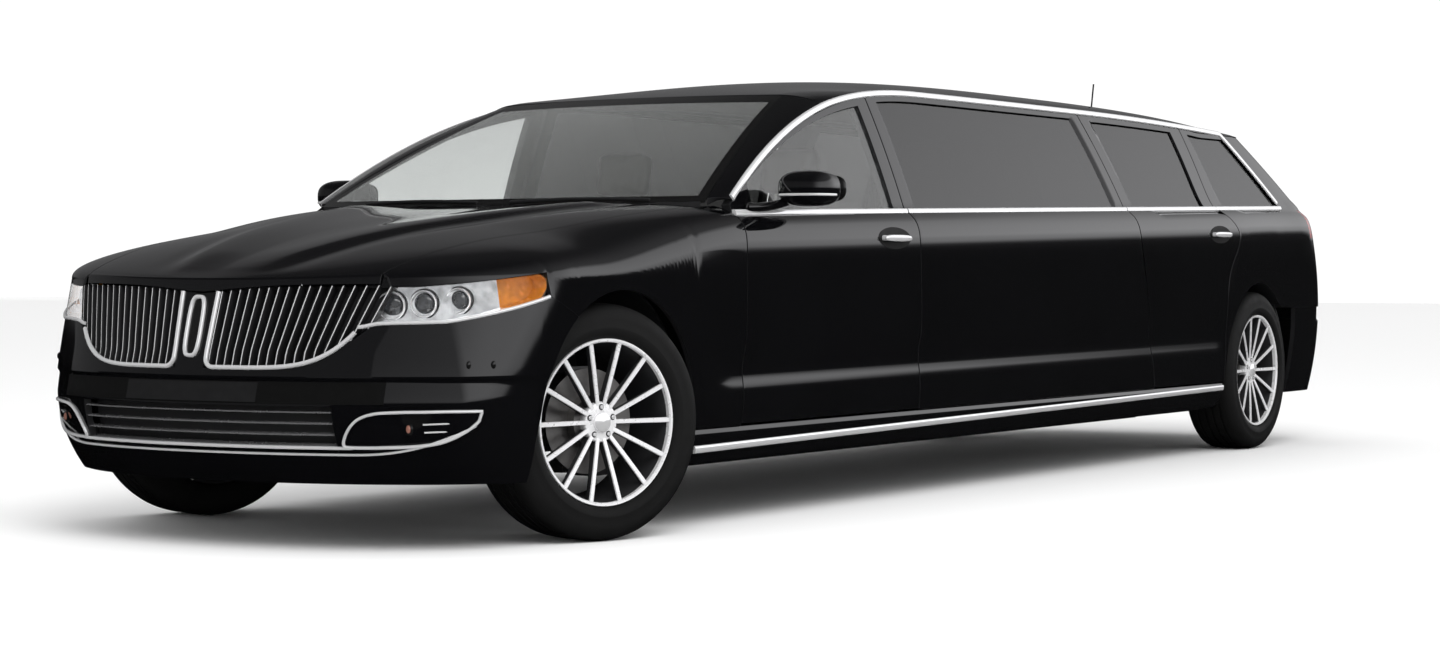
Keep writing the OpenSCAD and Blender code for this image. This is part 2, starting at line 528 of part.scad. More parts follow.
module tailgate() color("#101114") {
  difference() {
    shell(gate_outer, gate_inner, gate_keep);
    for (y = GATE_HINGES) box([gate_axis.x - pin_r - 6, y - gate_notch/2, gate_axis.z - pin_r - 8],
      [gate_axis.x + 80, y + gate_notch/2, gate_axis.z + 60]);
  }
  for (y = GATE_HINGES) gate_pin(y, pin_r, gate_notch + 16);
}
module tailgate_glass() color("#1c1f22") {
  n = len(gate_us) - 2;
  part = [for (i = [1:n]) [for (j = [5:9]) gate_outer[i][j]
    + [12, (i == 1 ? seam : i == n ? -seam : 0), (j == 5 ? seam : j == 9 ? -seam : 0)]]];
  shell(part, [for (r = part) [for (p = r) p + [glass_t, 0, 0]]]);
}

// Front end: columns at constant y near the middle and at constant x round the corners
lean = 0.37;
FLAT_YS = [0, divider_w, 150, 240, 330, 400, 450, 500, 530, 558, 610];
SIDE_XS = [front_x - 290, front_x - 370, front_x - 450, front_x - 520];
function col_pt(c, z) = c[0] == 0
  ? let (y = c[1] + lean*c[1]/558*max(0, z - 600)) [nose_pt(y, z), y, z]
  : [c[1], skin_y(c[1], z), z];
left_cols = concat([for (y = FLAT_YS) [0, y]], [for (x = SIDE_XS) [1, x]]);
function inward(p) = let (k = unit((p.x - front_x + 540)/290), v = [-k, -(p.y == 0 ? 0 : sign(p.y))
  *min(1, abs(p.y)/600), 0]) v/norm(v);
function grille_low(y) = 548 + 123*pow(unit((abs(y) - 79)/479), 5.5);
function lamp_low(c) = c[0] == 0 ? mix(671, 684, unit((c[1] - 558)/60))
  : mix(684, tip_low, pow(unit((SIDE_XS[0] + 20 - c[1])/(SIDE_XS[0] + 20 - lamp_tip_x)), 1.1));
function bumper_top(c) = c[0] == 0 ? (c[1] < 558 ? grille_low(c[1]) : lamp_low(c)) : lamp_low(c);
intake_z = [305, 440];
BUMPER_Z = [205, 250, intake_z[0], 372, intake_z[1], 500, 0.5, 1];
function bumper_z(c, k) = k > 1 ? k : mix(500, bumper_top(c) - seam, k);
side_cols = [for (x = [lamp_tip_x + 12, mix(seam_x, lamp_tip_x, 0.5), seam_x + 4]) [1, x]];
function bumper_low_side(c) = c[0] == 1 && c[1] < axle_f + arch_r ? arch_z(c[1], axle_f) : 205;
bumper_cols = concat(left_cols, side_cols);
function bumper_col(c) = let (low = bumper_low_side(c), top = c[0] == 1 && c[1] < lamp_tip_x + 12
    ? side_seam(c[1]) : bumper_top(c) - seam)
  [for (k = BUMPER_Z) let (z0 = bumper_z(c, k), z = low <= 205 ? (k == 1 ? top : z0)
    : mix(low, top, (z0 - 205)/(bumper_z(c, 1) - 205))) col_pt(c, z)];
function flip(p) = [p.x, -p.y, p.z];
bumper_left = [for (c = bumper_cols) bumper_col(c)];
bumper_outer = concat([for (i = [len(bumper_left) - 1:-1:1]) [for (p = bumper_left[i]) flip(p)]], bumper_left);
function deepen(grid, t) = [for (r = grid) [for (p = r) p + t*inward(p)]];
intake_cols = len(bumper_cols) - 1;
FOG_COLS = [10, 12];
INTAKE_ROWS = [2, 4];
intake_end = 7;
bumper_keep = function (i, j) let (k = abs(i + 0.5 - intake_cols) - 0.5)
  j < INTAKE_ROWS[0] || j >= INTAKE_ROWS[1] || (k >= intake_end && k < FOG_COLS[0]) || k >= FOG_COLS[1];
divider_y = divider_w - 4;
divider_t = 40;
divider = [for (f = [-1, -0.5, 0, 0.5, 1]) [for (k = span(4))
  col_pt([0, f*divider_y], mix(grille_low(0), lamp_top, k))]];
module front_bumper() color("#101114") {
  shell(bumper_outer, deepen(bumper_outer, panel_t), bumper_keep);
  shell(divider, deepen(divider, divider_t));
}
fog_in = 8;
module fog_lamps() color("#2a2c30") both_sides() shell(
  patch(deepen(bumper_left, fog_in), FOG_COLS, INTAKE_ROWS),
  patch(deepen(bumper_left, panel_t), FOG_COLS, INTAKE_ROWS));

// Split grille: two wings of leaning slats, and the comb of bars in the lower intake
wing_end = 556;
wing_gap = 2;
slat_pitch = (wing_end - divider_w)/(slats - 1 + slat_share);
wing_ys = [for (i = [0:2*slats - 1]) divider_w + slat_pitch*(floor(i/2) + (i%2)*slat_share)];
WING_ROWS = [0, 0.07, 0.35, 0.65, 0.94, 1];
function wing_col(y) = let (low = grille_low(y) + wing_gap) [for (k = WING_ROWS)
  col_pt([0, y], mix(low, lamp_top, k))];
wing = [for (y = wing_ys) wing_col(y)];
wing_keep = function (i, j) j == 0 || j == 4 || i%2 == 0;
comb_w = 470;
comb_rail = 20;
comb_ys = concat([-comb_w], [for (f = span(8)) mix(comb_rail - comb_w, comb_w - comb_rail, f)], [comb_w]);
comb_zs = [for (i = [0:3]) for (e = [0, 8]) intake_z[0] + seam + 10 + 34*i + e];
comb = [for (y = comb_ys) [for (z = comb_zs) [nose_pt(y, z) - 12, y, z]]];
comb_foot = [for (y = comb_ys) [nose_pt(y, intake_z[0]) - 12, y, intake_z[0] + seam]];
comb_grid = [for (i = [0:len(comb_ys) - 1]) concat([comb_foot[i]], comb[i])];
comb_keep = function (i, j) j%2 == 1 || i == 0 || i == len(comb_ys) - 2;
module grille() color("#b9bcc0") {
  both_sides() shell(wing, deepen(wing, slat_depth), wing_keep);
  shell(comb_grid, [for (r = comb_grid) [for (p = r) p - [14, 0, 0]]], comb_keep);
}

// Headlamps: lens solids between grille, hood edge, fender and bumper
lamp_cols = concat([for (y = [558, 610]) [0, y + 1]], [for (x = SIDE_XS) [1, x]], [[1, lamp_tip_x + 12]]);
lamp_grid = [for (c = lamp_cols) let (r = c[1] == lamp_tip_x + 12 ? tip_round : 0)
  [for (k = span(4)) col_pt(c, mix(lamp_low(c) + seam + r, (c[0] == 0 ? lamp_top : lamp_hi(c[1])) - r, k))]];
module headlamps() color("#d8dde0") both_sides() shell(lamp_grid, deepen(lamp_grid, 60));

// Rear bumper
rear_ys = [0, 150, 300, 450, 600, 720];
rear_turn = [0.25, 0.5, 0.75, 1];
REAR_Z = [250, 300, 400, 500, 585, 600, rear_bumper_top];
function rear_col(i, z) = i < len(rear_ys) ? [tail_pt(rear_ys[i], z), rear_ys[i], z]
  : let (b = tail_x(z) + corner_r, w = tail_w(z), y0 = rear_ys[len(rear_ys) - 1],
    a0 = acos(min(1, pow(y0/w, 1.5))), a = mix(a0, 0, rear_turn[i - len(rear_ys)]))
    [b - corner_r*pow(sin(a), 2/3), w*pow(cos(a), 2/3), z];
rear_n = len(rear_ys) + len(rear_turn);
rear_step = function (z) z > 590 ? 22 : 0;
rear_left = concat([for (i = [0:rear_n - 1]) [for (z = REAR_Z) rear_col(i, z)]],
  [for (f = [0.5, 1]) [for (z = REAR_Z) let (b = tail_x(z) + corner_r,
    e = axle_r - sqrt(max(1, pow(arch_r + 8, 2) - pow(z - hub_z, 2))), x = mix(b, min(e, b + 200), f))
    [x, skin_y(x, z), z]]]);
function tuck_in(p) = let (s = rear_step(p.z), k = unit((axle_r - arch_r - p.x)/300)) p + [s*k, 0, 0];
rear_half = [for (r = rear_left) [for (p = r) tuck_in(p)]];
rear_outer_grid = concat([for (i = [len(rear_half) - 1:-1:1]) [for (p = rear_half[i]) flip(p)]], rear_half);
function rear_inward(p) = let (k = unit((axle_r - arch_r - 60 - p.x)/250),
  v = [k, -sign(p.y)*min(1, abs(p.y)/700)*(1.05 - k), 0]) v/norm(v);
module rear_bumper() color("#101114") shell([for (i = [len(rear_outer_grid) - 1:-1:0]) rear_outer_grid[i]],
  [for (i = [len(rear_outer_grid) - 1:-1:0]) [for (p = rear_outer_grid[i]) p + panel_t*rear_inward(p)]]);

// Underbody
load_w = 560;
arm_w = 50;
axle_tube_r = 45;
spindle_in = 45;
module floor_pan() color("#2a2b2d") {
  box([door_r1 + 80, -inner_w, floor_z], [door_f0 + 60, inner_w, floor_z + floor_t]);
  box([door_r1 + 40, -inner_w, floor_z], [door_r1 + 80, inner_w, rear_floor_z + floor_t]);
  box([rear_x + 180, -load_w, rear_floor_z], [door_r1 + 80, load_w, rear_floor_z + floor_t]);
}
module frame_rails() color("#2a2b2d") both_sides() {
  low_z = floor_z - 85;
  box([door_r1, rail_y - rail_b/2, low_z], [door_f0 + 200, rail_y + rail_b/2, floor_z]);
  box([door_f0 + 100, rail_y - rail_b/2, low_z], [door_f0 + 200, rail_y + rail_b/2, 400]);
  box([door_f0 + 100, rail_y - rail_b/2, 300], [carrier_x, rail_y + rail_b/2, 400]);
  box([door_r1 - 60, rail_y - rail_b/2, low_z], [door_r1 + 40, rail_y + rail_b/2, rear_floor_z]);
  box([rear_x + 200, rail_y - rail_b/2, rear_floor_z - 90], [door_r1, rail_y + rail_b/2, rear_floor_z]);
}
module sills() color("#101114") both_sides() {
  low = 205;
  y1 = body_w/2 - tuck;
  translate([axle_r + arch_r + 12, 0, 0]) rotate([90, 0, 90])
    linear_extrude(axle_f - axle_r - 2*arch_r - 24)
    polygon([[inner_w, low + 20], [y1 - 90, low], [y1 - 40, low], [y1 - 8, low + 55], [y1, sill_h - 20],
      [y1 - 4, sill_h], [inner_w, sill_h]]);
}
post_gap = 7;
post_t = 75;
eye_wall = 2.5;
module hinge_posts() color("#1b1c1e") both_sides() for (x = [front_axis_x, rear_axis_x]) {
  face = body_w/2 - tuck - door_t - post_gap;
  box([x - 30, face - post_t, sill_h + seam], [x + hinge_back + wall_back - seam, face, belt_z(x) - 60]);
  for (z = HINGE_Z) difference() {
    union() {
      translate([x, axis_y, z - 20]) cylinder(r = pin_r + eye_wall, h = 40);
      box([x - 8, face - 10, z - 20], [x + 8, axis_y, z + 20]);
    }
    translate([x, axis_y, z - 30]) cylinder(r = pin_r + pin_fit, h = 60);
  }
}
carrier_x = front_x - 450;
module radiator_carrier() color("#161719")
  box([carrier_x + seam, -520, 300], [carrier_x + 40, 520, nose_h - 40]);
module engine() color("#4a4b4d") box([axle_f - 350, -290, 300], [axle_f + 330, 290, 760]);
arm_z = [hub_z - 145, hub_z + 125];
arm_h = 40;
king_y = track/2 - scrub;
module front_subframe() color("#2a2b2d") {
  box([axle_f - 60, -rail_y - rail_b/2, arm_z[0] - 20], [axle_f + 60, rail_y + rail_b/2, 300]);
  both_sides() {
    box([axle_f - 40, rail_y, arm_z[0] - arm_h/2], [axle_f + 40, king_y, arm_z[0] + arm_h/2]);
    box([axle_f - 30, rail_y, 400], [axle_f + 30, rail_y + rail_b/2, arm_z[1] + arm_h/2]);
    box([axle_f - arm_w/2, rail_y, arm_z[1] - arm_h/2], [axle_f + arm_w/2, king_y, arm_z[1] + arm_h/2]);
    for (z = arm_z) translate([axle_f, king_y, z - arm_h/2]) cylinder(r = 26, h = arm_h);
    translate([axle_f, king_y, arm_z[0]]) cylinder(r = kingpin_r, h = arm_z[1] - arm_z[0]);
  }
}
module rear_axle() color("#2a2b2d") {
  translate([axle_r, 0, hub_z]) rotate([90, 0, 0])
    cylinder(r = axle_tube_r, h = track - tyre_w - 60, center = true);
  translate([axle_r, 0, hub_z]) rotate([90, 0, 0])
    cylinder(r = spindle_r, h = track + 2*spindle_in, center = true);
  translate([axle_r, 0, hub_z]) sphere(r = 120);
  both_sides() box([axle_r - 60, rail_y - 35, hub_z], [axle_r + 60, rail_y + 35, rear_floor_z - 90]);
}
tub_t = 8;
slot_gap = 10;
tub_in_f = 85;
tub_in_r = 155;
module tub(axle, r, y0, y1, slot_w, slot_z) difference() {
  translate([axle, y0, hub_z]) rotate([-90, 0, 0]) difference() {
    cylinder(r = r, h = y1 - y0);
    translate([0, 0, tub_t]) cylinder(r = r - tub_t, h = y1 - y0);
  }
  box([axle - 2*r, y0 - 1, hub_z - 2*r], [axle + 2*r, y1 + 1, sill_h + seam]);
  box([axle - slot_w - slot_gap, y0 - 1, sill_h], [axle + slot_w + slot_gap, y0 + 2*tub_t, slot_z + slot_gap]);
}
module wheelhouses() color("#161719") both_sides() {
  tub(axle_f, arch_r + 35, rail_y + rail_b/2 + seam, body_w/2 - tub_in_f, arm_w/2, arm_z[1] + arm_h/2);
  tub(axle_r, arch_r + 20, load_w + seam, body_w/2 - tub_in_r, axle_tube_r, hub_z + axle_tube_r);
}
pipe_r = 30;
pipe_z = floor_z - 50;
module exhaust() color("#5a5c5f") {
  translate([door_r1 + 60, 250, pipe_z]) rotate([0, 90, 0]) cylinder(r = pipe_r, h = door_f0 - door_r1 - 400);
  translate([door_r1 + 200, 250, pipe_z]) rotate([0, 90, 0]) cylinder(r = 45, h = 620);
  for (f = [0.25, 0.55, 0.9]) let (x = mix(door_r1 + 60, door_f0 - 340, f))
    box([x - 12, 240, pipe_z], [x + 12, 260, floor_z]);
}

// Inside
wheel_at = [door_f0 - 560, 370, 800];
column_l = 440;
dash_w = inner_w - 60;
module dashboard() color("#26262a") {
  translate([0, dash_w, 0]) rotate([90, 0, 0]) linear_extrude(2*dash_w)
    polygon([[wall_x - seam, cowl_h - 180], [wall_x - seam, 560], [door_f0 - 140, 560],
      [door_f0 - 330, 800], [door_f0 - 330, 920], [door_f0 - 180, cowl_h - 105]]);
  translate(wheel_at) rotate([0, -65, 0]) {
    rotate_extrude() translate([178, 0]) circle(r = 14);
    translate([0, 0, -column_l]) cylinder(r = 24, h = column_l + 30);
    for (a = [0, 120, 240]) rotate([0, 0, a]) translate([0, -14, -6]) cube([178, 28, 12]);
  }
}
seat_room = 500;
lounge_room = 540;
module seat(x, w, back_h) translate([x, w/2, 0]) rotate([90, 0, 0]) linear_extrude(w)
  polygon([[0, floor_z + floor_t], [470, floor_z + floor_t], [500, 530], [470, 590], [60, 560], [-30, 570],
    [-150, back_h], [-250, back_h], [-130, 540]]);
module front_seats() color("#6a6058") both_sides() translate([0, 380, 0]) {
  x = door_f0 - 1080;
  seat(x, 520, roof_h - seat_room);
  translate([x - 215, -130, roof_h - seat_room - 20]) cube([90, 260, 210]);
}
module lounge_seats() color("#3a3634") {
  seat(door_r1 + 330, 1240, roof_h - lounge_room);
  long = door_f1 - 500 - door_r0;
  translate([door_r0 + 260, -inner_w + 10, 0]) rotate([90, 0, 90]) linear_extrude(long)
    polygon([[0, floor_z + floor_t], [480, floor_z + floor_t], [500, 590], [110, 600], [60, 980], [0, 980]]);
}

// Running gear: the front wheels stand turned by steer_rest
module at_front_wheel(s) translate([axle_f, s*king_y, hub_z]) rotate([0, 0, -steer_rest])
  rotate([0, 0, s > 0 ? 0 : 180]) translate([0, scrub, 0]) children();
module at_rear_wheel(s) translate([axle_r, 0, hub_z]) rotate([0, 0, s > 0 ? 0 : 180])
  translate([0, track/2, 0]) children();
knuckle_r = 24;
caliper_t = 36;
module knuckle(s) {
  gap = 0.5;
  low = arm_z[0] + arm_h/2 + gap;
  high = arm_z[1] - arm_h/2 - gap;
  difference() {
    union() {
      translate([axle_f, s*king_y, low]) cylinder(r = knuckle_r, h = high - low);
      at_front_wheel(s) rotate([90, 0, 0]) {
        translate([0, 0, -spindle_in]) cylinder(r = spindle_r, h = scrub + spindle_in);
        translate([0, 0, 40]) cylinder(r = 50, h = scrub - 30);
        translate([-40, 110, 20]) cube([80, 60, caliper_t]);
        translate([-22, 30, 20]) cube([44, 140, caliper_t]);
      }
    }
    translate([axle_f, s*king_y, low - 1]) cylinder(r = kingpin_r + pin_fit, h = high - low + 2);
  }
}
module knuckle_left() color("#3a3b3d") knuckle(1);
module knuckle_right() color("#3a3b3d") knuckle(-1);

// Rim with thin spokes, hub and brake disc; its middle plane is y = 0, its face looks to +Y
rim_r = rim_d/2;
bead_r = rim_r - 2;
face_y = tyre_w/2 - 30;
module rim() color("#b8bbc0") difference() {
  union() {
    rotate([-90, 0, 0]) rotate_extrude() polygon([[rim_r - 26, -tyre_w/2 + 22], [bead_r, -tyre_w/2 + 16],
      [bead_r, -tyre_w/2 + 24], [rim_r - 20, -tyre_w/2 + 40], [rim_r - 20, face_y - 8],
      [bead_r, face_y + 12], [rim_r, face_y + 18], [rim_r - 14, face_y + 20], [rim_r - 26, face_y + 6],
      [rim_r - 30, face_y - 14]]);
    rotate([-90, 0, 0]) translate([0, 0, face_y - 60]) cylinder(r = 78, h = 50);
    rotate([-90, 0, 0]) translate([0, 0, face_y - 12]) cylinder(r = 34, h = 12);
    for (i = [0:spokes - 1]) rotate([0, 360*i/spokes, 0]) translate([0, face_y - 34, 0])
      rotate([-90, 0, 0]) linear_extrude(30) polygon([[50, -9], [rim_r - 22, -6], [rim_r - 22, 6], [50, 9]]);
    rotate([-90, 0, 0]) cylinder(r = 165, h = 14);
    rotate([-90, 0, 0]) cylinder(r = 70, h = face_y - 20);
  }
  rotate([-90, 0, 0]) translate([0, 0, -60]) cylinder(r = spindle_r + pin_fit, h = face_y + 20);
  for (i = [0:4]) rotate([0, 72*i, 0]) translate([57, face_y - 30, 0]) rotate([-90, 0, 0])
    cylinder(r = 11, h = 60);
}
module tyre() color("#141415") rotate([-90, 0, 0]) rotate_extrude($fn = 144) {
  r = tyre_d/2;
  h = tyre_w/2;
  polygon([[bead_r + seam, face_y + 12], [rim_r + 6, h - 4], [rim_r + 45, h], [r - 30, h - 6],
    [r - 8, h - 20], [r, h - 48], [r, 48 - h], [r - 8, 20 - h], [r - 30, 6 - h], [rim_r + 45, -h],
    [rim_r + 6, 4 - h], [bead_r + seam, 16 - h]]);
}
module rim_front_left() at_front_wheel(1) rim();
module rim_front_right() at_front_wheel(-1) rim();
module rim_rear_left() at_rear_wheel(1) rim();
module rim_rear_right() at_rear_wheel(-1) rim();
module tyre_front_left() at_front_wheel(1) tyre();
module tyre_front_right() at_front_wheel(-1) tyre();
module tyre_rear_left() at_rear_wheel(1) tyre();
module tyre_rear_right() at_rear_wheel(-1) tyre();

// Door mirror on a pad in the front corner of the window
mirror_at = [door_f0 - 300, body_w/2 + 70, belt_h + 100];
mirror_r = 52;
pad_low = belt_h + 15;
pad_x = [door_f0 - 132, door_f0 - 80];
module door_mirror() color("#101114") {
  pad_y = glass_y(pad_x[1], pad_low) + seam;
  hull() {
    translate(mirror_at) sphere(r = mirror_r, $fn = 16);
    translate(mirror_at + [-50, 38, 6]) sphere(r = mirror_r - 6, $fn = 16);
    translate(mirror_at + [-40, -62, -4]) sphere(r = mirror_r - 8, $fn = 16);
  }
  hull() {
    translate(mirror_at + [-30, -70, -40]) cube([60, 40, 24]);
    box([pad_x[0], pad_y, pad_low], [pad_x[1], pad_y + 14, pad_low + 36]);
  }
}
module mirror_left() door_mirror();
module mirror_right() mirror([0, 1, 0]) door_mirror();

floor_pan();
frame_rails();
sills();
fenders();
side_panels();
quarters();
side_glass();
a_pillars();
roof_rails();
roof();
windscreen();
cowl();
hinge_posts();
front_bumper();
grille();
headlamps();
fog_lamps();
tail_lamps();
rear_bumper();
radiator_carrier();
engine();
front_subframe();
rear_axle();
wheelhouses();
exhaust();
dashboard();
front_seats();
lounge_seats();
antenna();
knuckle_left();
knuckle_right();
rim_front_left();
rim_front_right();
rim_rear_left();
rim_rear_right();
tyre_front_left();
tyre_front_right();
tyre_rear_left();
tyre_rear_right();
front_door_left();
front_door_right();
rear_door_left();
rear_door_right();
front_door_glass_left();
front_door_glass_right();
rear_door_glass_left();
rear_door_glass_right();
mirror_left();
mirror_right();
hood();
tailgate();
tailgate_glass();
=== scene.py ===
from math import acos, asin, copysign, cos, degrees, exp, pi, radians, sin, sqrt

import bmesh
import bpy
import numpy as np
from mathutils import Matrix, Vector


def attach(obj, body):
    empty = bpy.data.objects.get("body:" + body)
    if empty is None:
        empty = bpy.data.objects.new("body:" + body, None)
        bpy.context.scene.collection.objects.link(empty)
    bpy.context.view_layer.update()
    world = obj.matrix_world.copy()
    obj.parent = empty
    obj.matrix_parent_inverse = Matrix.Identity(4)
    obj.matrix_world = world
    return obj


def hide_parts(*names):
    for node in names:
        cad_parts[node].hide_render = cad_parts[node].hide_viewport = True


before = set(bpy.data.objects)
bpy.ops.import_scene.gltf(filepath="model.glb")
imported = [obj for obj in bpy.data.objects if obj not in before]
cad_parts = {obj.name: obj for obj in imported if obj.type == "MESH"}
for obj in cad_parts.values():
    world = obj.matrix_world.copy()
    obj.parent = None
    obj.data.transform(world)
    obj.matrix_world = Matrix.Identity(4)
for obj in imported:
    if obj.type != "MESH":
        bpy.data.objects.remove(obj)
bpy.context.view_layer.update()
V = lambda *c: np.array(c, float)

# Sizes of the body in millimetres, as in the part's source
front_x, rear_x, axle_f, axle_r = 3700.0, -3700.0, 2750.0, -2575.0
door_f0, door_f1, door_r0, door_r1 = 2035.0, 820.0, -1215.0, -2160.0
body_w, roof_h, belt_h, belt_rise, shoulder_h = 1930.0, 1620.0, 1018.0, 100.0, 190.0
sill_h, nose_h, tuck, scallop = 325.0, 810.0, 22.0, 14.0
rail_h, rail_w, glass_w = 1505.0, 732.0, 905.0
door_t, frame_t, panel_t, shut_gap, seam = 110.0, 42.0, 26.0, 6.0, 0.4
tyre_d, tyre_w, rim_d, track, arch_r = 740.0, 245.0, 524.0, 1665.0, 410.0
steer_rest, scrub, spokes, slats, divider_w = 18.0, 88.0, 14, 17, 62.0
cowl_l = axle_f - door_f0
cowl_x, header_x, roof_end = door_f0 + 193, door_f0 - 795, axle_r - 385
crown_x, arc_x, hub_z = (header_x + roof_end) / 2 - 150, door_f1 - 420, tyre_d / 2
cowl_h, header_h, roof_end_h = belt_h + 47, rail_h - 22, roof_h - 65
cowl_w, header_w, roof_w, hood_w = glass_w - 78, rail_w - 126, rail_w - 78, 603.0
lamp_top = nose_h - 12 - shut_gap
hood_fall, corner_f, corner_r, hood_line_x = 120.0, 580.0, 420.0, front_x - 252
lamp_tip_x, seam_x = front_x - 574, axle_f + 243
rear_bumper_top, tip_low = 660.0, 762.0


def mix(a, b, t):
    return a + (b - a) * t


def unit(t):
    return max(0.0, min(1.0, t))


def ease(t):
    c = unit(t)
    return c * c * (3 - 2 * c)


def above(v, p):
    return max(0.0, v) ** p


def refine(values, n):
    """The same list with n parts in each step."""
    out = []
    for a, b in zip(values, values[1:]):
        out += [mix(a, b, k / n) for k in range(n)]
    return out + [values[-1]]


def span(n):
    return [i / n for i in range(n + 1)]


def steps(n):
    return [k / n for k in range(-n, n + 1)]


def reach(w, n):
    return [mix(-w, w, k) for k in span(n)]


def circle(n):
    return [2 * pi * i / n for i in range(n)]


def norm(v):
    return v / np.linalg.norm(v)


def sided(p, side):
    return V(p[0], side * p[1], p[2])


def moved(grid, *by):
    return [[p + V(*by) for p in r] for r in grid]


def both_sides(half):
    """Columns of both sides from those of the left side, the first of which is in the middle."""
    return [[sided(p, -1) for p in r] for r in half[:0:-1]] + half


# Lines and skin of the body
def belt_z(x):
    return belt_h + belt_rise * (door_f0 - x) / (door_f0 - axle_r)


def hood_z(x):
    t = (x - cowl_x) / (front_x - 90 - cowl_x)
    return cowl_h - hood_fall * t - (cowl_h - hood_fall - nose_h - 5) * t**3


def waist_z(x):
    if x <= door_f0:
        return belt_z(x) - shoulder_h
    return mix(belt_h - shoulder_h, nose_h, unit((x - door_f0) / (front_x - 90 - door_f0)))


def half_w(x):
    return body_w / 2 - 10 * ease((x - door_f0) / 1000) - 22 * ease((door_r1 - x) / 900)


def crown_h(x):
    return hood_z(max(x, door_f0)) - waist_z(max(x, door_f0))


def crown_e(x):
    return mix(5.5, 2.5, ease((x - door_f0) / (cowl_l + 150)))


def top_z(x):
    if x > arc_x:
        return rail_h - (rail_h - belt_h - 40) * ((x - arc_x) / (door_f0 - arc_x)) ** 2.3
    return rail_h - 30 * unit((crown_x - x) / (crown_x - axle_r)) ** 2


def hood_y(x):
    return mix(cowl_w, hood_w, (x - door_f0 - 50) / (hood_line_x - door_f0 - 50))


def nose_x(z):
    return front_x - (0.25 * (z - 450) if z > 450 else 100 * ((450 - z) / 250) ** 2)


def tail_x(z):
    if z < 600:
        return rear_x + 80 * ((600 - z) / 350) ** 2
    if z < belt_h + 82:
        return rear_x + 140 * ((z - 600) / (belt_h - 518)) ** 2
    return rear_x + 140 + (z - belt_h - 82) * (roof_end - rear_x - 155) / (roof_end_h - belt_h - 82)


def inset(x, z):
    t = max(0.0, (waist_z(x) - z) / (waist_z(x) - sill_h))
    f = ease((axle_f - 350 - x) / 300) * ease((x - axle_r - 330) / 200)
    return tuck * t**2.4 + f * scallop * exp(-(((t - 0.62) / 0.13) ** 2))


def glass_y(x, z):
    t = (z - belt_z(x)) / (rail_h - belt_z(x))
    return mix(glass_w, rail_w, 0.8 * t + 0.2 * t * t)


def corner(w, x, z):
    a, b = nose_x(z) - corner_f, tail_x(z) + corner_r
    if x > a:
        return w * above(1 - ((x - a) / corner_f) ** 2.1, 1 / 2.1)
    if x < b:
        return w * above(1 - ((b - x) / corner_r) ** 3, 1 / 3)
    return w


def skin_y(x, z):
    w, s, e = half_w(x), waist_z(x), crown_e(x)
    if z <= s:
        return corner(w - inset(x, z), x, z)
    if z <= belt_z(x) + 1 or x > door_f0:
        return corner(w, x, s if x > door_f0 else z) * above(1 - ((z - s) / crown_h(x)) ** e, 1 / e)
    return corner(glass_y(x, z), x, z)


def on_skin(x, z):
    return V(x, skin_y(x, z), z)


def shelf(z):
    """Set-back of the front bumper below its crease."""
    return 9 * ease((526 - z) / 16)


def nose_pt(y, z):
    a = nose_x(z) - corner_f
    w = half_w(a) - inset(a, z)
    return a + corner_f * above(1 - (abs(y) / w) ** 2.1, 1 / 2.1) - shelf(z) * (1 + (y / 900) ** 2)


def tail_w(z):
    b = tail_x(z) + corner_r
    s, top, e = waist_z(b), belt_z(b), crown_e(b)
    if z <= s:
        return half_w(b) - inset(b, z)
    low = half_w(b) * above(1 - ((min(z, top) - s) / crown_h(b)) ** e, 1 / e)
    return low if z <= top else mix(low, glass_y(b, z), ease((z - top) / 60))


def tail_pt(y, z):
    return tail_x(z) + corner_r - corner_r * above(1 - min(1, abs(y) / tail_w(z)) ** 3, 1 / 3)


def tail_corner(a, z):
    return V(tail_x(z) + corner_r - corner_r * sin(a) ** (2 / 3), tail_w(z) * cos(a) ** (2 / 3), z)


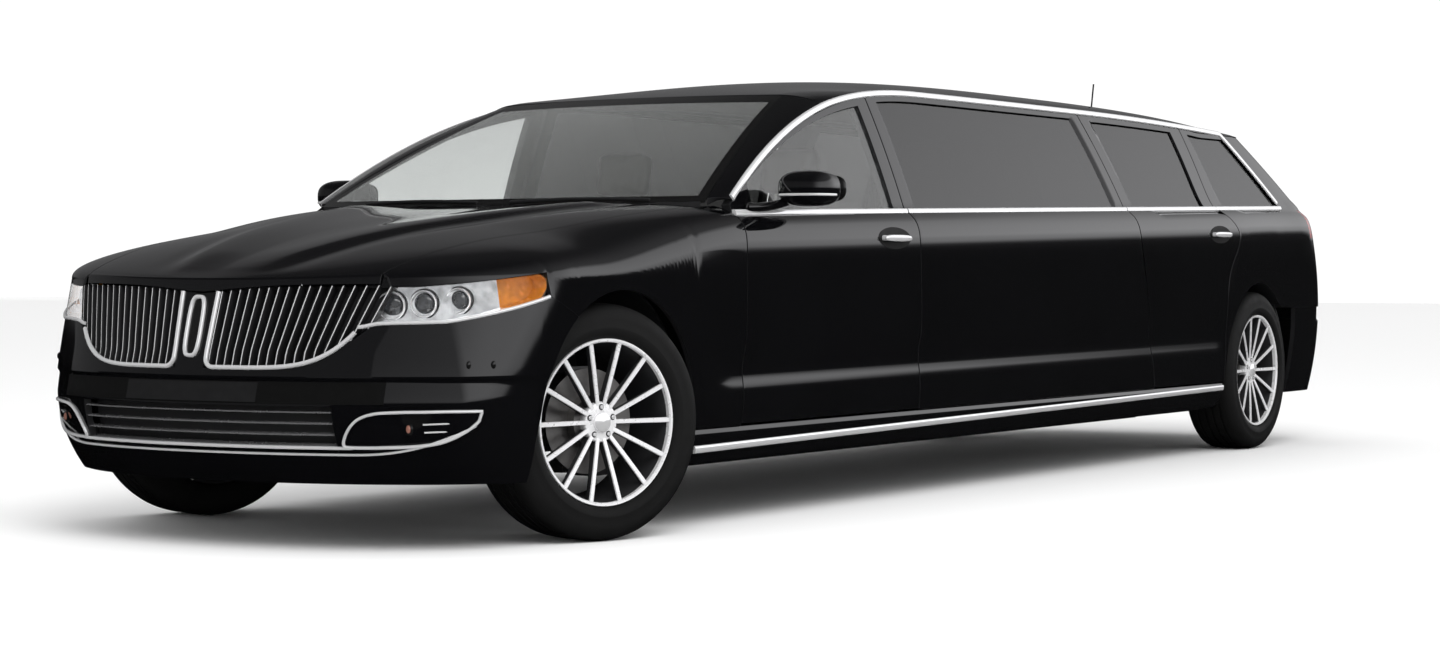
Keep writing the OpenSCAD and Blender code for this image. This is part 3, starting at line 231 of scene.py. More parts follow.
# Meshes
class Build:
    def __init__(self):
        self.v, self.f, self.m = [], [], []

    def point(self, p):
        self.v.append((p[0] / 1000, p[1] / 1000, p[2] / 1000))
        return len(self.v) - 1

    def face(self, ids, mat=0):
        self.f.append(tuple(ids))
        self.m.append(mat)

    def shell(self, outer, inner, keep=lambda i, j: True, mat=0, wall=None):
        wall = mat if wall is None else wall
        n, m = len(outer), len(outer[0])
        ids = {}

        def at(i, j, k):
            if (i, j, k) not in ids:
                ids[i, j, k] = self.point((outer, inner)[k][i][j])
            return ids[i, j, k]

        has = lambda i, j: 0 <= i < n - 1 and 0 <= j < m - 1 and keep(i, j)
        for i in range(n - 1):
            for j in range(m - 1):
                if not keep(i, j):
                    continue
                a, b, c, d = (i, j), (i + 1, j), (i + 1, j + 1), (i, j + 1)
                self.face([at(*q, 0) for q in (a, b, c, d)], mat)
                self.face([at(*q, 1) for q in (d, c, b, a)], wall)
                for near, p, q in (((i - 1, j), d, a), ((i + 1, j), b, c), ((i, j - 1), a, b), ((i, j + 1), c, d)):
                    if not has(*near):
                        self.face([at(*p, 0), at(*q, 0), at(*q, 1), at(*p, 1)][::-1], wall)
        return self

    def loft(self, rows, mat=0, start=None, end=None):
        """Faces between closed rows of points, and over the end rows that have a material."""
        n = len(rows[0])
        for r, s in zip(rows, rows[1:]):
            for i in range(n):
                k = (i + 1) % n
                self.face([r[i], r[k], s[k], s[i]], mat(i) if callable(mat) else mat)
        if start is not None:
            self.face(rows[0][::-1], start)
        if end is not None:
            self.face(rows[-1], end)
        return self

    def sweep(self, path, ups, outs, profile, mat=0, close=True):
        """A closed profile of (up, out) offsets carried along a path."""
        rows = [[self.point(p + u * a + o * b) for a, b in profile] for p, u, o in zip(path, ups, outs)]
        cap = mat if close else None
        return self.loft(rows, mat, cap, cap)

    def turn(self, profile, place, n=96, mat=0):
        """A profile of (radius, along) turned about the local +Y axis and placed by a matrix."""
        rows = [[self.point(place @ V(r * cos(a), y, r * sin(a), 1)) for r, y in profile] for a in circle(n)]
        return self.loft(rows + rows[:1], mat)

    def blob(self, centre, radii, turn=np.eye(3), power=2.0, n=48, m=24, mat=0):
        """A superellipsoid."""
        sp = lambda t: copysign(abs(t) ** (2 / power), t)
        rows = []
        for j in range(1, m):
            b = -pi / 2 + pi * j / m
            row = [V(sp(cos(b)) * sp(cos(a)), sp(cos(b)) * sp(sin(a)), sp(sin(b))) for a in circle(n)]
            rows.append([self.point(centre + turn @ (p * radii)) for p in row])
        pole = turn @ V(0, 0, radii[2])
        low, high = self.point(centre - pole), self.point(centre + pole)
        self.loft(rows, mat)
        for i in range(n):
            self.face([low, rows[0][(i + 1) % n], rows[0][i]], mat)
            self.face([high, rows[-1][i], rows[-1][(i + 1) % n]], mat)
        return self

    def box(self, low, high, mat=0):
        ids = [self.point((x, y, z)) for x in (low[0], high[0]) for y in (low[1], high[1]) for z in (low[2], high[2])]
        for q in ((0, 1, 3, 2), (4, 6, 7, 5), (0, 4, 5, 1), (2, 3, 7, 6), (0, 2, 6, 4), (1, 5, 7, 3)):
            self.face([ids[k] for k in q], mat)
        return self

    def mirrored(self):
        out = Build()
        out.v = [(x, -y, z) for x, y, z in self.v]
        out.f = [tuple(reversed(f)) for f in self.f]
        out.m = list(self.m)
        return out

    def join(self, other):
        k = len(self.v)
        self.v += other.v
        self.f += [tuple(i + k for i in f) for f in other.f]
        self.m += other.m
        return self

    def both(self):
        return self.join(self.mirrored())

    def sides(self):
        return ("left", self), ("right", self.mirrored())

    def make(self, name, body, mats, stands_for=(), bevel=0.0, angle=35, slot=None):
        me = bpy.data.meshes.new(name)
        me.from_pydata(self.v, [], self.f)
        for mt in mats:
            me.materials.append(mt)
        me.polygons.foreach_set("material_index", self.m)
        bm = bmesh.new()
        bm.from_mesh(me)
        bmesh.ops.remove_doubles(bm, verts=bm.verts, dist=1e-6)
        bmesh.ops.recalc_face_normals(bm, faces=bm.faces)
        bm.to_mesh(me)
        bm.free()
        me.polygons.foreach_set("use_smooth", [True] * len(me.polygons))
        o = put(name, me)
        if bevel:
            b = o.modifiers.new("edge", "BEVEL")
            b.width, b.segments, b.limit_method, b.angle_limit = bevel / 1000, 2, "ANGLE", radians(angle)
            o.modifiers.new("normals", "WEIGHTED_NORMAL").weight = 80
        else:
            me.set_sharp_from_angle(angle=radians(angle))
        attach(o, body)
        if stands_for:
            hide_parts(*stands_for)
        return o

    def skin(self, name, node, body="body", bevel=2.0):
        """A painted panel."""
        return self.make(name, body, [PAINT, EDGE], [node], bevel=bevel, slot="black_paint")


def put(name, data):
    """A new object of the scene."""
    o = bpy.data.objects.new(name, data)
    bpy.context.scene.collection.objects.link(o)
    return o


# Materials
def fill(node, values):
    """Set inputs of a node."""
    for key, value in values.items():
        node.inputs[key].default_value = value
    return node


def tree_of(name):
    """A new material, its nodes, and functions that add a node and link an output to an input."""
    mt = bpy.data.materials.new(name)
    mt.use_nodes = True
    nt = mt.node_tree
    add = lambda kind: nt.nodes.new("ShaderNode" + kind)
    return mt, nt.nodes, add, lambda a, x, b, y: nt.links.new(a.outputs[x], b.inputs[y])


def material(name, base, rough=0.4, metal=0.0, coat=0.0, spec=0.5, vary=0.15, scale=40.0, bump=0.0, bump_scale=400.0):
    """A principled surface whose colour and gloss vary with noise, with an optional fine grain."""
    mt, nodes, add, link = tree_of(name)
    p = fill(nodes["Principled BSDF"], {
        "Metallic": metal, "Specular IOR Level": spec, "Coat Weight": coat, "Coat Roughness": 0.02})
    co = add("TexCoord")
    no = fill(add("TexNoise"), {"Scale": scale, "Detail": 4.0})
    link(co, "Object", no, "Vector")
    ramp = add("Mix")
    ramp.data_type = "RGBA"
    fill(ramp, {6: [c * (1 - vary) for c in base] + [1], 7: [min(1, c * (1 + vary)) for c in base] + [1]})
    link(no, "Fac", ramp, 0)
    link(ramp, 2, p, "Base Color")
    gloss = fill(add("MapRange"), {"To Min": rough * 0.8, "To Max": min(1.0, rough * 1.25)})
    link(no, "Fac", gloss, "Value")
    link(gloss, "Result", p, "Roughness")
    if bump:
        fine = fill(add("TexNoise"), {"Scale": bump_scale})
        link(co, "Object", fine, "Vector")
        b = fill(add("Bump"), {"Strength": bump, "Distance": 0.001})
        link(fine, "Fac", b, "Height")
        link(b, "Normal", p, "Normal")
    return mt


def glazing(name, tint, ior=1.48):
    """A clear sheet: light passes both faces and takes the tint at each."""
    mt = material(name, tint, 0.01, vary=0.03, scale=3.0)
    fill(mt.node_tree.nodes["Principled BSDF"], {"Transmission Weight": 1.0, "IOR": ior})
    return mt


PAINT = material("black paint", (0.0022, 0.0022, 0.0026), 0.045, coat=0.35, vary=0.3, scale=2.0)
EDGE = material("painted inner side", (0.01, 0.01, 0.011), 0.35, vary=0.2)
CHROME = material("chrome", (0.96, 0.96, 0.97), 0.12, metal=0.62, vary=0.03, scale=12.0)
ALLOY = material("silver alloy", (0.80, 0.80, 0.81), 0.28, metal=0.3, coat=0.4, vary=0.04, scale=60.0)
DARK_ALLOY = material("wheel barrel", (0.03, 0.03, 0.032), 0.45, metal=0.4, vary=0.2)
RUBBER = material("tyre rubber", (0.006, 0.006, 0.006), 0.6, spec=0.2, vary=0.25, scale=25.0, bump=0.25,
                  bump_scale=700.0)
PLASTIC = material("dark plastic", (0.012, 0.012, 0.013), 0.5, vary=0.2, bump=0.2, bump_scale=900.0)
GLOSS = material("gloss black trim", (0.005, 0.005, 0.005), 0.1, vary=0.3)
STEEL = material("brake disc", (0.36, 0.35, 0.34), 0.35, metal=1.0, vary=0.15, scale=90.0)
CHASSIS = material("chassis paint", (0.02, 0.02, 0.021), 0.5, vary=0.3, scale=15.0, bump=0.2)
CAST = material("cast metal", (0.2, 0.2, 0.2), 0.55, metal=0.8, vary=0.25, bump=0.4)
PIPE = material("exhaust steel", (0.4, 0.38, 0.36), 0.4, metal=1.0, vary=0.2)
SEAT = material("seat leather", (0.075, 0.066, 0.06), 0.5, vary=0.12, scale=18.0, bump=0.35, bump_scale=500.0)
LOUNGE = material("lounge leather", (0.045, 0.04, 0.038), 0.45, vary=0.2, scale=18.0, bump=0.35, bump_scale=500.0)
DASH = material("dashboard", (0.03, 0.03, 0.032), 0.6, vary=0.2, bump=0.4, bump_scale=800.0)
SILVER = material("lamp bowl", (0.5, 0.51, 0.52), 0.2, metal=0.7, vary=0.9, scale=34.0, bump=1.0, bump_scale=60.0)
AMBER = material("amber lens", (0.78, 0.2, 0.003), 0.25, vary=0.75, scale=70.0, bump=1.0, bump_scale=120.0)
FOG = material("fog lamp glass", (0.22, 0.10, 0.075), 0.15, coat=0.8, vary=0.3, scale=120.0)
BAR = material("dim bright bars", (0.35, 0.35, 0.36), 0.25, metal=0.8, vary=0.1)
BAND = material("satin black band", (0.004, 0.004, 0.004), 0.4, spec=0.12, vary=0.2)
RED = material("red lens", (0.36, 0.012, 0.015), 0.12, coat=1.0, vary=0.25, scale=150.0)
PLATE = material("blank plate", (0.009, 0.009, 0.0095), 0.4, spec=0.2, vary=0.3)
CLEAR = glazing("clear glass", (0.86, 0.88, 0.87))
TINT = glazing("tinted glass", (0.035, 0.035, 0.035), ior=1.52)
LENS = glazing("lamp lens", (0.97, 0.975, 0.98), ior=1.2)
BULB = material("projector glass", (0.02, 0.022, 0.026), 0.08, coat=0.3, vary=0.8, scale=50.0)

# Side panels, in rows from the sill (0) by the belt (1) to the roof rail (2)
PANE_LOW, PANE_HIGH, NEAR = 1.05, 1.94, 1e-6
LOW = refine([0, 0.12, 0.26, 0.4, 0.56, 0.72, 0.88, 1], 5)
ROWS = LOW + refine([PANE_LOW, 1.2, 1.5, 1.8, PANE_HIGH], 3) + [1.97, 2.0]


def row_z(L, x, low, top):
    return mix(low, belt_z(x), L) if L <= 1 else mix(belt_z(x), top, L - 1)


def side_outer(x0, x1, cols, low, top):
    grid = []
    for f in cols:
        n = mix(x0(belt_h), x1(belt_h), f)
        z1 = top(n)
        t = mix(x0(z1), x1(z1), f)
        col = []
        for L in ROWS:
            z = row_z(L, n, low, top(t))
            x = mix(x0(z), x1(z), f)
            col.append(on_skin(x, z))
        grid.append(col)
    return grid


def wall_t(L):
    return door_t if L <= 1 else frame_t


def side_inner(outer, in0, in1, cols):
    return [[V(p[0] + mix(in0(p[2]), 0, unit(f * 8)) + mix(0, in1(p[2]), unit(1 - (1 - f) * 8)),
               p[1] - wall_t(L), p[2]) for p, L in zip(col, ROWS)] for col, f in zip(outer, cols)]


def window(cols, a, b):
    return lambda i, j: not (cols[i] > a - NEAR and cols[i + 1] < b + NEAR
                             and ROWS[j] > PANE_LOW - NEAR and ROWS[j + 1] < PANE_HIGH + NEAR)


def pane(b, outer, inner, cols, a, c):
    """Glass of a window, in the same frame."""
    I = [i for i, f in enumerate(cols) if a - NEAR < f < c + NEAR]
    J = [j for j, L in enumerate(ROWS) if PANE_LOW - NEAR < L < PANE_HIGH + NEAR]
    grid = lambda d: [[mix(outer[i][j], inner[i][j], d / frame_t) for j in J] for i in I]
    return b.shell(grid(9.0), grid(13.0))


post_edge = lambda z: door_f1 + 0.05 * (z - 850)
rear_edge = lambda z: door_r0 + 0.3 * (z - 850)
rear_end = lambda z: door_r1 - 140 * exp(-(((z - 990) / 120) ** 2)) + 60 * ease((z - 1000) / 150)
front_axis_x, rear_axis_x = door_f0 - 12, rear_edge(600) - 12
fixed_top = lambda x: top_z(x) + shut_gap - 1.6
front_cols = refine([0, 0.04, 0.12, 0.25, 0.4, 0.55, 0.7, 0.82, 0.935, 1], 4)
rear_cols = refine([0, 0.09, 0.22, 0.36, 0.5, 0.64, 0.78, 0.89, 1], 4)
mid_cols = refine([0, 0.04, 0.16, 0.28, 0.4, 0.52, 0.64, 0.76, 0.88, 0.96, 1], 4)
front_outer = side_outer(lambda z: door_f0, lambda z: post_edge(z) + 3, front_cols, sill_h + shut_gap, top_z)
rear_outer = side_outer(lambda z: rear_edge(z) - 3, lambda z: rear_end(z) + 3, rear_cols, sill_h + shut_gap, top_z)
mid_outer = side_outer(lambda z: post_edge(z) - 3, lambda z: rear_edge(z) + 3, mid_cols, sill_h + seam, fixed_top)
front_inner = side_inner(front_outer, lambda z: front_axis_x - door_f0, lambda z: 22, front_cols)
rear_inner = side_inner(rear_outer, lambda z: rear_axis_x - rear_edge(z) + 3, lambda z: 22, rear_cols)
mid_inner = side_inner(mid_outer, lambda z: 0, lambda z: door_t, mid_cols)
DOORS = (("front", front_outer, front_inner, front_cols, 0.12, 0.935, CLEAR, "clear_glass"),
         ("rear", rear_outer, rear_inner, rear_cols, 0.09, 0.89, TINT, "tinted_glass"))
for name, outer, inner, cols, a, c, glass, slot in DOORS:
    shell = Build().shell(outer, inner, window(cols, a, c), wall=1)
    light = pane(Build(), outer, inner, cols, a, c)
    for (side, s), (_, g) in zip(shell.sides(), light.sides()):
        body = f"{name}_door_{side}"
        s.skin(f"{body}_skin", body, body)
        g.make(f"{body}_pane", body, [glass], [f"{name}_door_glass_{side}"], slot=slot)
Build().shell(mid_outer, mid_inner, window(mid_cols, 0.04, 0.96), wall=1).both().skin(
    "stretch_skin", "side_panels")

# Rear quarters with the tail lamps
gate_y = lambda z: tail_w(z) * 0.8
flat = refine([0, 0.12, 0.3, 0.5, 0.72, 0.86, 1], 4)
turn = span(16)[1:]


def arch_z(x, axle):
    d = arch_r**2 - (x - axle) ** 2
    return hub_z + sqrt(d) if d > 0 else 0.0


def quarter_low(x):
    return rear_bumper_top + seam if x < axle_r - arch_r * 0.75 else max(sill_h + seam, arch_z(x, axle_r))


def quarter_x(f, z):
    return mix(rear_end(z) - 3, tail_x(z) + corner_r, f)


quarter_outer, quarter_cols = [], flat + [1 + t for t in turn]
quarter_end = quarter_x(1, 700)
for f in flat:
    n = quarter_x(f, 700)
    low = quarter_low(n)
    col = []
    for L in ROWS:
        z = row_z(L, n, low, fixed_top(n))
        x = mix(n, quarter_x(f, z), unit((z - low) / 200))
        col.append(on_skin(x, z))
    quarter_outer.append(col)
for g in turn:
    col = []
    for L in ROWS:
        z = row_z(L, quarter_end, quarter_low(quarter_end), fixed_top(quarter_end))
        col.append(tail_corner(g * acos(min(1, ((gate_y(z) + shut_gap) / tail_w(z)) ** 1.5)), z))
    quarter_outer.append(col)
quarter_inner = []
for col, f in zip(quarter_outer, quarter_cols):
    k = pi / 2 * unit((f - 0.86) / 1.14)
    quarter_inner.append([V(p[0] + wall_t(L) * sin(k), p[1] - wall_t(L) * cos(k), p[2])
                          for p, L in zip(col, ROWS)])
open_pane = window(quarter_cols, 0.12, 0.86)
in_lamp = lambda i, j: (quarter_cols[i] > 1.11 and quarter_cols[i + 1] < 1.79
                        and ROWS[j] > 0.719 and ROWS[j + 1] < 1.001)
Build().shell(quarter_outer, quarter_inner, lambda i, j: open_pane(i, j) and not in_lamp(i, j), wall=1).both().skin(
    "quarter_skin", "quarters")
Build().shell(quarter_outer, [[mix(p, q, 0.5) for p, q in zip(a, b)] for a, b in zip(quarter_outer, quarter_inner)],
              in_lamp).both().make("tail_lamp_lens", "body", [RED], ["tail_lamps"], slot="red_lens")
light = pane(Build(), mid_outer, mid_inner, mid_cols, 0.04, 0.96)
pane(light, quarter_outer, quarter_inner, quarter_cols, 0.12, 0.86).both().make(
    "side_panes", "body", [TINT], ["side_glass"], slot="tinted_glass")

# Front fenders
fender_xs = [mix(door_f0 + shut_gap, axle_f - 380, f) for f in span(16)]
fender_xs += [mix(axle_f - 380, seam_x, f) for f in refine([0, 0.12, 0.3, 0.5, 0.7, 0.88, 1], 6)[1:]]
fender_xs += [mix(seam_x, lamp_tip_x, f) for f in span(8)[1:]] + [lamp_tip_x + 11.5]
fender_xs += [mix(lamp_tip_x + 11.5, hood_line_x + 36, f) for f in span(18)[1:]]


def lamp_hi(x):
    return lamp_top + 44 * unit((hood_line_x - x) / (hood_line_x - lamp_tip_x))


def side_seam(x):
    if x > lamp_tip_x + 1:
        return lamp_hi(x)
    return mix(arch_z(seam_x, axle_f), tip_low, unit((x - seam_x) / (lamp_tip_x - seam_x)))


def fender_low(x):
    if x < axle_f - arch_r * 0.99:
        return sill_h + seam
    return max(sill_h + seam, arch_z(x, axle_f)) if x <= seam_x else side_seam(x) + seam


def section_pt(x, t):
    s, e = waist_z(x), crown_e(x)
    if t < 0:
        return on_skin(x, s + t * (s - 200))
    w, a = corner(half_w(x), x, s), pi / 2 * t
    return V(x, w * max(0, cos(a)) ** (2 / e), s + crown_h(x) * sin(a) ** (2 / e))


def section_low(x):
    z, s = fender_low(x), waist_z(x)
    return (z - s) / (s - 200) if z < s else degrees(asin(((z - s) / crown_h(x)) ** (crown_e(x) / 2))) / 90


def section_top(x):
    w = corner(half_w(x), x, waist_z(x))
    return degrees(acos(min(1, (hood_y(x) / w) ** (crown_e(x) / 2)))) / 90


rows = refine(span(9), 4)
fender_outer = [[section_pt(x, mix(section_low(x), section_top(x), f)) for f in rows] for x in fender_xs]
fender_inner = []
for i, col in enumerate(fender_outer):
    back = 2 * panel_t if i == 0 else 0
    wall = mix(14, 8, unit((col[0][0] - hood_line_x + 40) / 40))
    fender_inner.append([V(p[0] + back, p[1] - wall * cos(a), p[2] - wall * sin(a))
                         for p, a in zip(col, (pi / 2 * ease((f - 0.45) / 0.55) for f in rows))])
Build().shell(fender_outer, fender_inner, wall=1).both().skin("fender_skin", "fenders")


# Hood with its two creases
def hood_surface(x, y):
    w, e = corner(half_w(x), x, waist_z(x)), crown_e(x)
    return waist_z(x) + crown_h(x) * above(1 - min(1, abs(y) / w) ** e, 1 / e)


def crease(x, y):
    t = unit((x - 2250) / 1300)
    mid = mix(520, 150, t**0.9)
    d = abs(y) - mid
    ridge = 12.0 * exp(-((d / (150 if d < 0 else 55)) ** 2))
    return (ridge - 4.0 * exp(-(((d - 85) / 50) ** 2))) * ease((3600 - x) / 250)


def hood_edge(y):
    """Height of the hood's lower front edge, which dips between the wings of the grille."""
    return 800 - 24 * exp(-((abs(y) / 210) ** 1.4))


hood_rear = lambda w: cowl_x - 143 * w * w + 56
hood_front = lambda w: nose_pt(w * hood_w, nose_h) - 8
ws, fs = steps(40), refine([0, 0.15, 0.32, 0.5, 0.66, 0.8, 0.9, 0.96, 1], 6)
hood_outer, hood_inner = [], []
for w in ws:
    col, under = [], []
    for f in fs:
        x = mix(hood_rear(w), hood_front(w), f)
        y = w * (hood_y(x) - 4)
        edge = unit((1 - abs(w)) / 0.15) * unit((1 - f) / 0.06) * unit(f / 0.05)
        z = hood_surface(x, y) + crease(x, y) * edge
        col.append(V(x, y, z))
        under.append(V(x - 7 * unit((f - 0.9) / 0.1), y, z - mix(22, 12, ease((f - 0.7) / 0.3))))
    low = hood_edge(y)
    for k in (0.25, 0.5, 0.75, 1):
        a = pi / 2 * k
        d = z - 8 * (1 - cos(a))
        col.append(V(mix(x, nose_pt(y, d) - 1, sin(a)), y, d))
        under.append(V(x - 7, y, min(d, z - 12)))
    for k in span(4)[1:]:
        d = mix(z - 8, low, k)
        col.append(V(nose_pt(y, d) - 1, y, d))
        under.append(V(nose_pt(y, d) - 8, y, min(d, z - 12)))
    hood_outer.append(col)
    hood_inner.append(under)
b = Build().shell(hood_outer, hood_inner)
for y in (-770, 770):
    b.box((2156, y - 12, 1001), (2205, y + 12, 1034), 1)
b.skin("hood_skin", "hood", "hood", bevel=2.5)


# Windscreen, pillars, rails and roof
def screen_pt(u, v):
    b = V(cowl_x - 143 * u * u, u * cowl_w, cowl_h + 5 * u * u)
    t = V(header_x - 18 * u * u, u * header_w, header_h - 9 * u * u)
    return b + (t - b) * v + V(0, 0, 88 * v * (1 - v))


us = steps(24)
screen = [[screen_pt(u, v) for v in span(24)] for u in us]
lower = moved(screen, 0, 0, -5)
border = lambda i, j: i < 1 or i > 46 or j > 21 or j < 1
Build().shell(screen, lower, lambda i, j: not border(i, j)).make(
    "windscreen_pane", "body", [CLEAR], ["windscreen"], slot="clear_glass")
Build().shell(screen, lower, border).make("windscreen_border", "body", [GLOSS], slot="dark_plastic")


def roof_y(x):
    return mix(header_w, roof_w, ease((header_x - x) / 700)) - 62 * ease((axle_r + 500 - x) / 900)


def roof_line(x):
    if x > crown_x:
        return roof_h - (roof_h - header_h) * ((x - crown_x) / (header_x - crown_x)) ** 3
    return roof_h - (roof_h - roof_end_h) * ((crown_x - x) / (crown_x - roof_end)) ** 3


def roof_z(x, y):
    return roof_line(x) - mix(9, 70, ease((header_x - x) / 900)) * (abs(y) / roof_y(x)) ** 2.2


def rail_in(x):
    v = (door_f0 - x) / (door_f0 - header_x + 70)
    if v <= 1:
        return screen_pt(1, v) + V(0, seam, 0)
    r = mix(x + 52, x, unit((header_x - 70 - x) / 400))
    return V(r, roof_y(r) + seam, roof_z(r, roof_y(r)))


def rail_out(x):
    z = top_z(x) + shut_gap
    return V(x, skin_y(x, min(z, top_z(x))), z)


def rail_row(x, ks):
    a, b = rail_out(x), rail_in(x)
    d = b - a
    up = V(0, 0.35, 0.35) * np.linalg.norm(d) / 2
    return [a + d * k + up * k * (1 - k) * 1.2 for k in ks]


ks = span(10)
drop = [V(0, mix(frame_t, 0, k), mix(0, panel_t, k)) for k in ks]
strip = lambda b, xs: b.shell([rail_row(x, ks) for x in xs],
                              [[p - d for p, d in zip(rail_row(x, ks), drop)] for x in xs], wall=1)
strip(Build(), [mix(door_f0 - 20, header_x - 70, f) for f in span(40)]).both().skin(
    "pillar_skin", "a_pillars", bevel=1.5)
strip(Build(), [mix(header_x - 70.5, roof_end + 30, f) for f in span(80)]).both().skin(
    "rail_skin", "roof_rails", bevel=1.5)
roof = []
for u in us:
    x0 = screen_pt(u, 1)[0] - 2
    roof.append([V(x, u * roof_y(x), roof_z(x, u * roof_y(x))) for x in (mix(x0, roof_end, f) for f in span(80))])
b = Build().shell(roof, moved(roof, 0, 0, -24), wall=1)
gate_axis = V(-2985, 0, 1527)
for y in (-170, 170):
    b.box((gate_axis[0] - 8, y - 15, gate_axis[2] - 8), (roof_end + 90, y + 15, gate_axis[2] + 4), 1)
b.skin("roof_skin", "roof")

# Tailgate
pane_z0, pane_z1 = 1150, 1490
gzs = refine([666, 760, 880, 1000, 1090, pane_z0, 1230, 1320, 1410, pane_z1, roof_end_h - 14], 5)


def gate_pt(u, h):
    """A point of the tailgate, whose upper edge follows the roof's."""
    k = (roof_z(roof_end, u * gate_y(gzs[-1])) - 14 - pane_z0) / (gzs[-1] - pane_z0)
    z = pane_z0 + (h - pane_z0) * k if h > pane_z0 else h
    return V(tail_pt(u * gate_y(z), z), u * gate_y(z), z)


gate = [[gate_pt(u, z) for z in gzs] for u in steps(20)]
gate_in = [[p + V(mix(60, 30, unit((p[2] - 1000) / 150)), 0, 0) for p in r] for r in gate]
in_glass = lambda i, j: 4 <= i < 36 and gzs[j] > pane_z0 - 1 and gzs[j + 1] < pane_z1 + 1
b = Build().shell(gate, gate_in, lambda i, j: not in_glass(i, j), wall=1)
b.skin("gate_skin", "tailgate", "tailgate")
Build().shell(moved(gate, 6, 0, 0), moved(gate, 11, 0, 0), in_glass).make(
    "gate_pane", "tailgate", [TINT], ["tailgate_glass"], slot="tinted_glass")

# Front end: columns at constant y near the middle and at constant x round the corners. The grille's wings end at
# wing_y and lean outward above lean_z.
lean, lean_z, wing_y, bumper_low, crease_z, emblem_z = 0.37, 600, 558, 205, 530, 672
SIDE_XS = [front_x - 290, front_x - 370, front_x - 450, front_x - 520]


def col_pt(c, z):
    if c[0] == 0:
        y = c[1] + lean * c[1] / wing_y * max(0, z - lean_z)
        return V(nose_pt(y, z), y, z)
    p = on_skin(c[1], z)
    return p + inward(p) * shelf(z) * ease((c[1] - 3060) / 130)


def inward(p):
    k = unit((p[0] - front_x + 540) / 290)
    return norm(V(-k, -np.sign(p[1]) * min(1, abs(p[1]) / 600), 0))


def deepen(grid, t):
    return [[p + t * inward(p) for p in r] for r in grid]


def grille_low(y):
    return 548 + 123 * unit((abs(y) - 79) / 479) ** 5.5


def lamp_low(c):
    if c[0] == 0:
        return mix(671, 684, unit((c[1] - wing_y) / 60))
    s = SIDE_XS[0] + 20
    return mix(684, tip_low, unit((s - c[1]) / (s - lamp_tip_x)) ** 1.1)


def bumper_top(c):
    if c[0] == 0 and c[1] < divider_w - 2:
        return hood_edge(c[1]) - 4
    return grille_low(c[1]) if c[0] == 0 and c[1] < wing_y else lamp_low(c)


side_cols = [lamp_tip_x + 12, mix(seam_x, lamp_tip_x, 0.5), seam_x + 4]
ys = [0, 20, 40, divider_w - 4, divider_w - 3.9]
ys += refine([divider_w, 150, 240, 330, 400, 450, 500, 530, wing_y, 610], 5)
cols = [(0, y) for y in ys] + [(1, x) for x in refine(SIDE_XS + side_cols, 4)]
zs = refine([bumper_low, 250, 305, 372, 440, 500], 4) + [508, 512, 516, 520, 524, crease_z]


def bumper_col(c):
    low = arch_z(c[1], axle_f) if c[0] == 1 and c[1] < axle_f + arch_r else bumper_low
    top = side_seam(c[1]) if c[0] == 1 and c[1] < lamp_tip_x + 12 else bumper_top(c) - seam
    if c[0] == 0 and divider_w - 4 < c[1] < divider_w:
        top = grille_low(c[1]) - seam
    out = [mix(crease_z, top, k) for k in span(8)[1:]]
    col = []
    for z in zs + out:
        if low > bumper_low:
            z = mix(low, top, (z - bumper_low) / (top - bumper_low))
        col.append(col_pt(c, z))
    return col


whole = both_sides([bumper_col(c) for c in cols])
wide = [(c[0], -c[1]) for c in cols[:0:-1]] + cols
keep = lambda i, j: not (wide[i][0] == wide[i + 1][0] == 0 and max(abs(wide[i][1]), abs(wide[i + 1][1])) <= 500
                         and j + 1 < len(zs) and zs[j] >= 305 and zs[j + 1] <= 440)
Build().shell(whole, deepen(whole, 20), keep, wall=1).skin("bumper_skin", "front_bumper")


def nose_at(y, z, out=0.0):
    """A point on the nose and its normal."""
    e = 2.0
    p = V(nose_pt(y, z), y, z)
    n = norm(np.cross(V(nose_pt(y + e, z), y + e, z) - p, V(nose_pt(y, z + e), y, z + e) - p))
    return p + n * out, n


def nose_grid(ys, zs, out):
    return [[nose_at(y, z, out)[0] for z in zs] for y in ys]


def half_round(w, h, depth, k=8):
    """Section of a trim strip: a rounded face w wide and h proud of its seat, in k parts."""
    arc = [(-w / 2 * cos(pi * i / k), h * sin(pi * i / k) ** 0.6) for i in range(k + 1)]
    return arc + [(w / 2, -depth), (-w / 2, -depth)]


def trim(b, pts, normals, w, h, mat=0, loop=False, depth=2.0):
    """A bright strip along points of a surface."""
    pts = [V(*p) for p in pts]
    n = len(pts)
    ups, outs = [], []
    for i in range(n):
        a, c = (pts[i - 1], pts[(i + 1) % n]) if loop else (pts[max(0, i - 1)], pts[min(n - 1, i + 1)])
        t = norm(c - a)
        ups.append(norm(np.cross(V(*normals[i]), t)))
        outs.append(np.cross(t, ups[-1]))
    if loop:
        pts, ups, outs = pts + pts[:1], ups + ups[:1], outs + outs[:1]
    return b.sweep(pts, ups, outs, half_round(w, h, depth), mat, close=not loop)


def along(b, pairs, *size, **how):
    """A bright strip along pairs of a point and its normal."""
    return trim(b, *zip(*pairs), *size, **how)


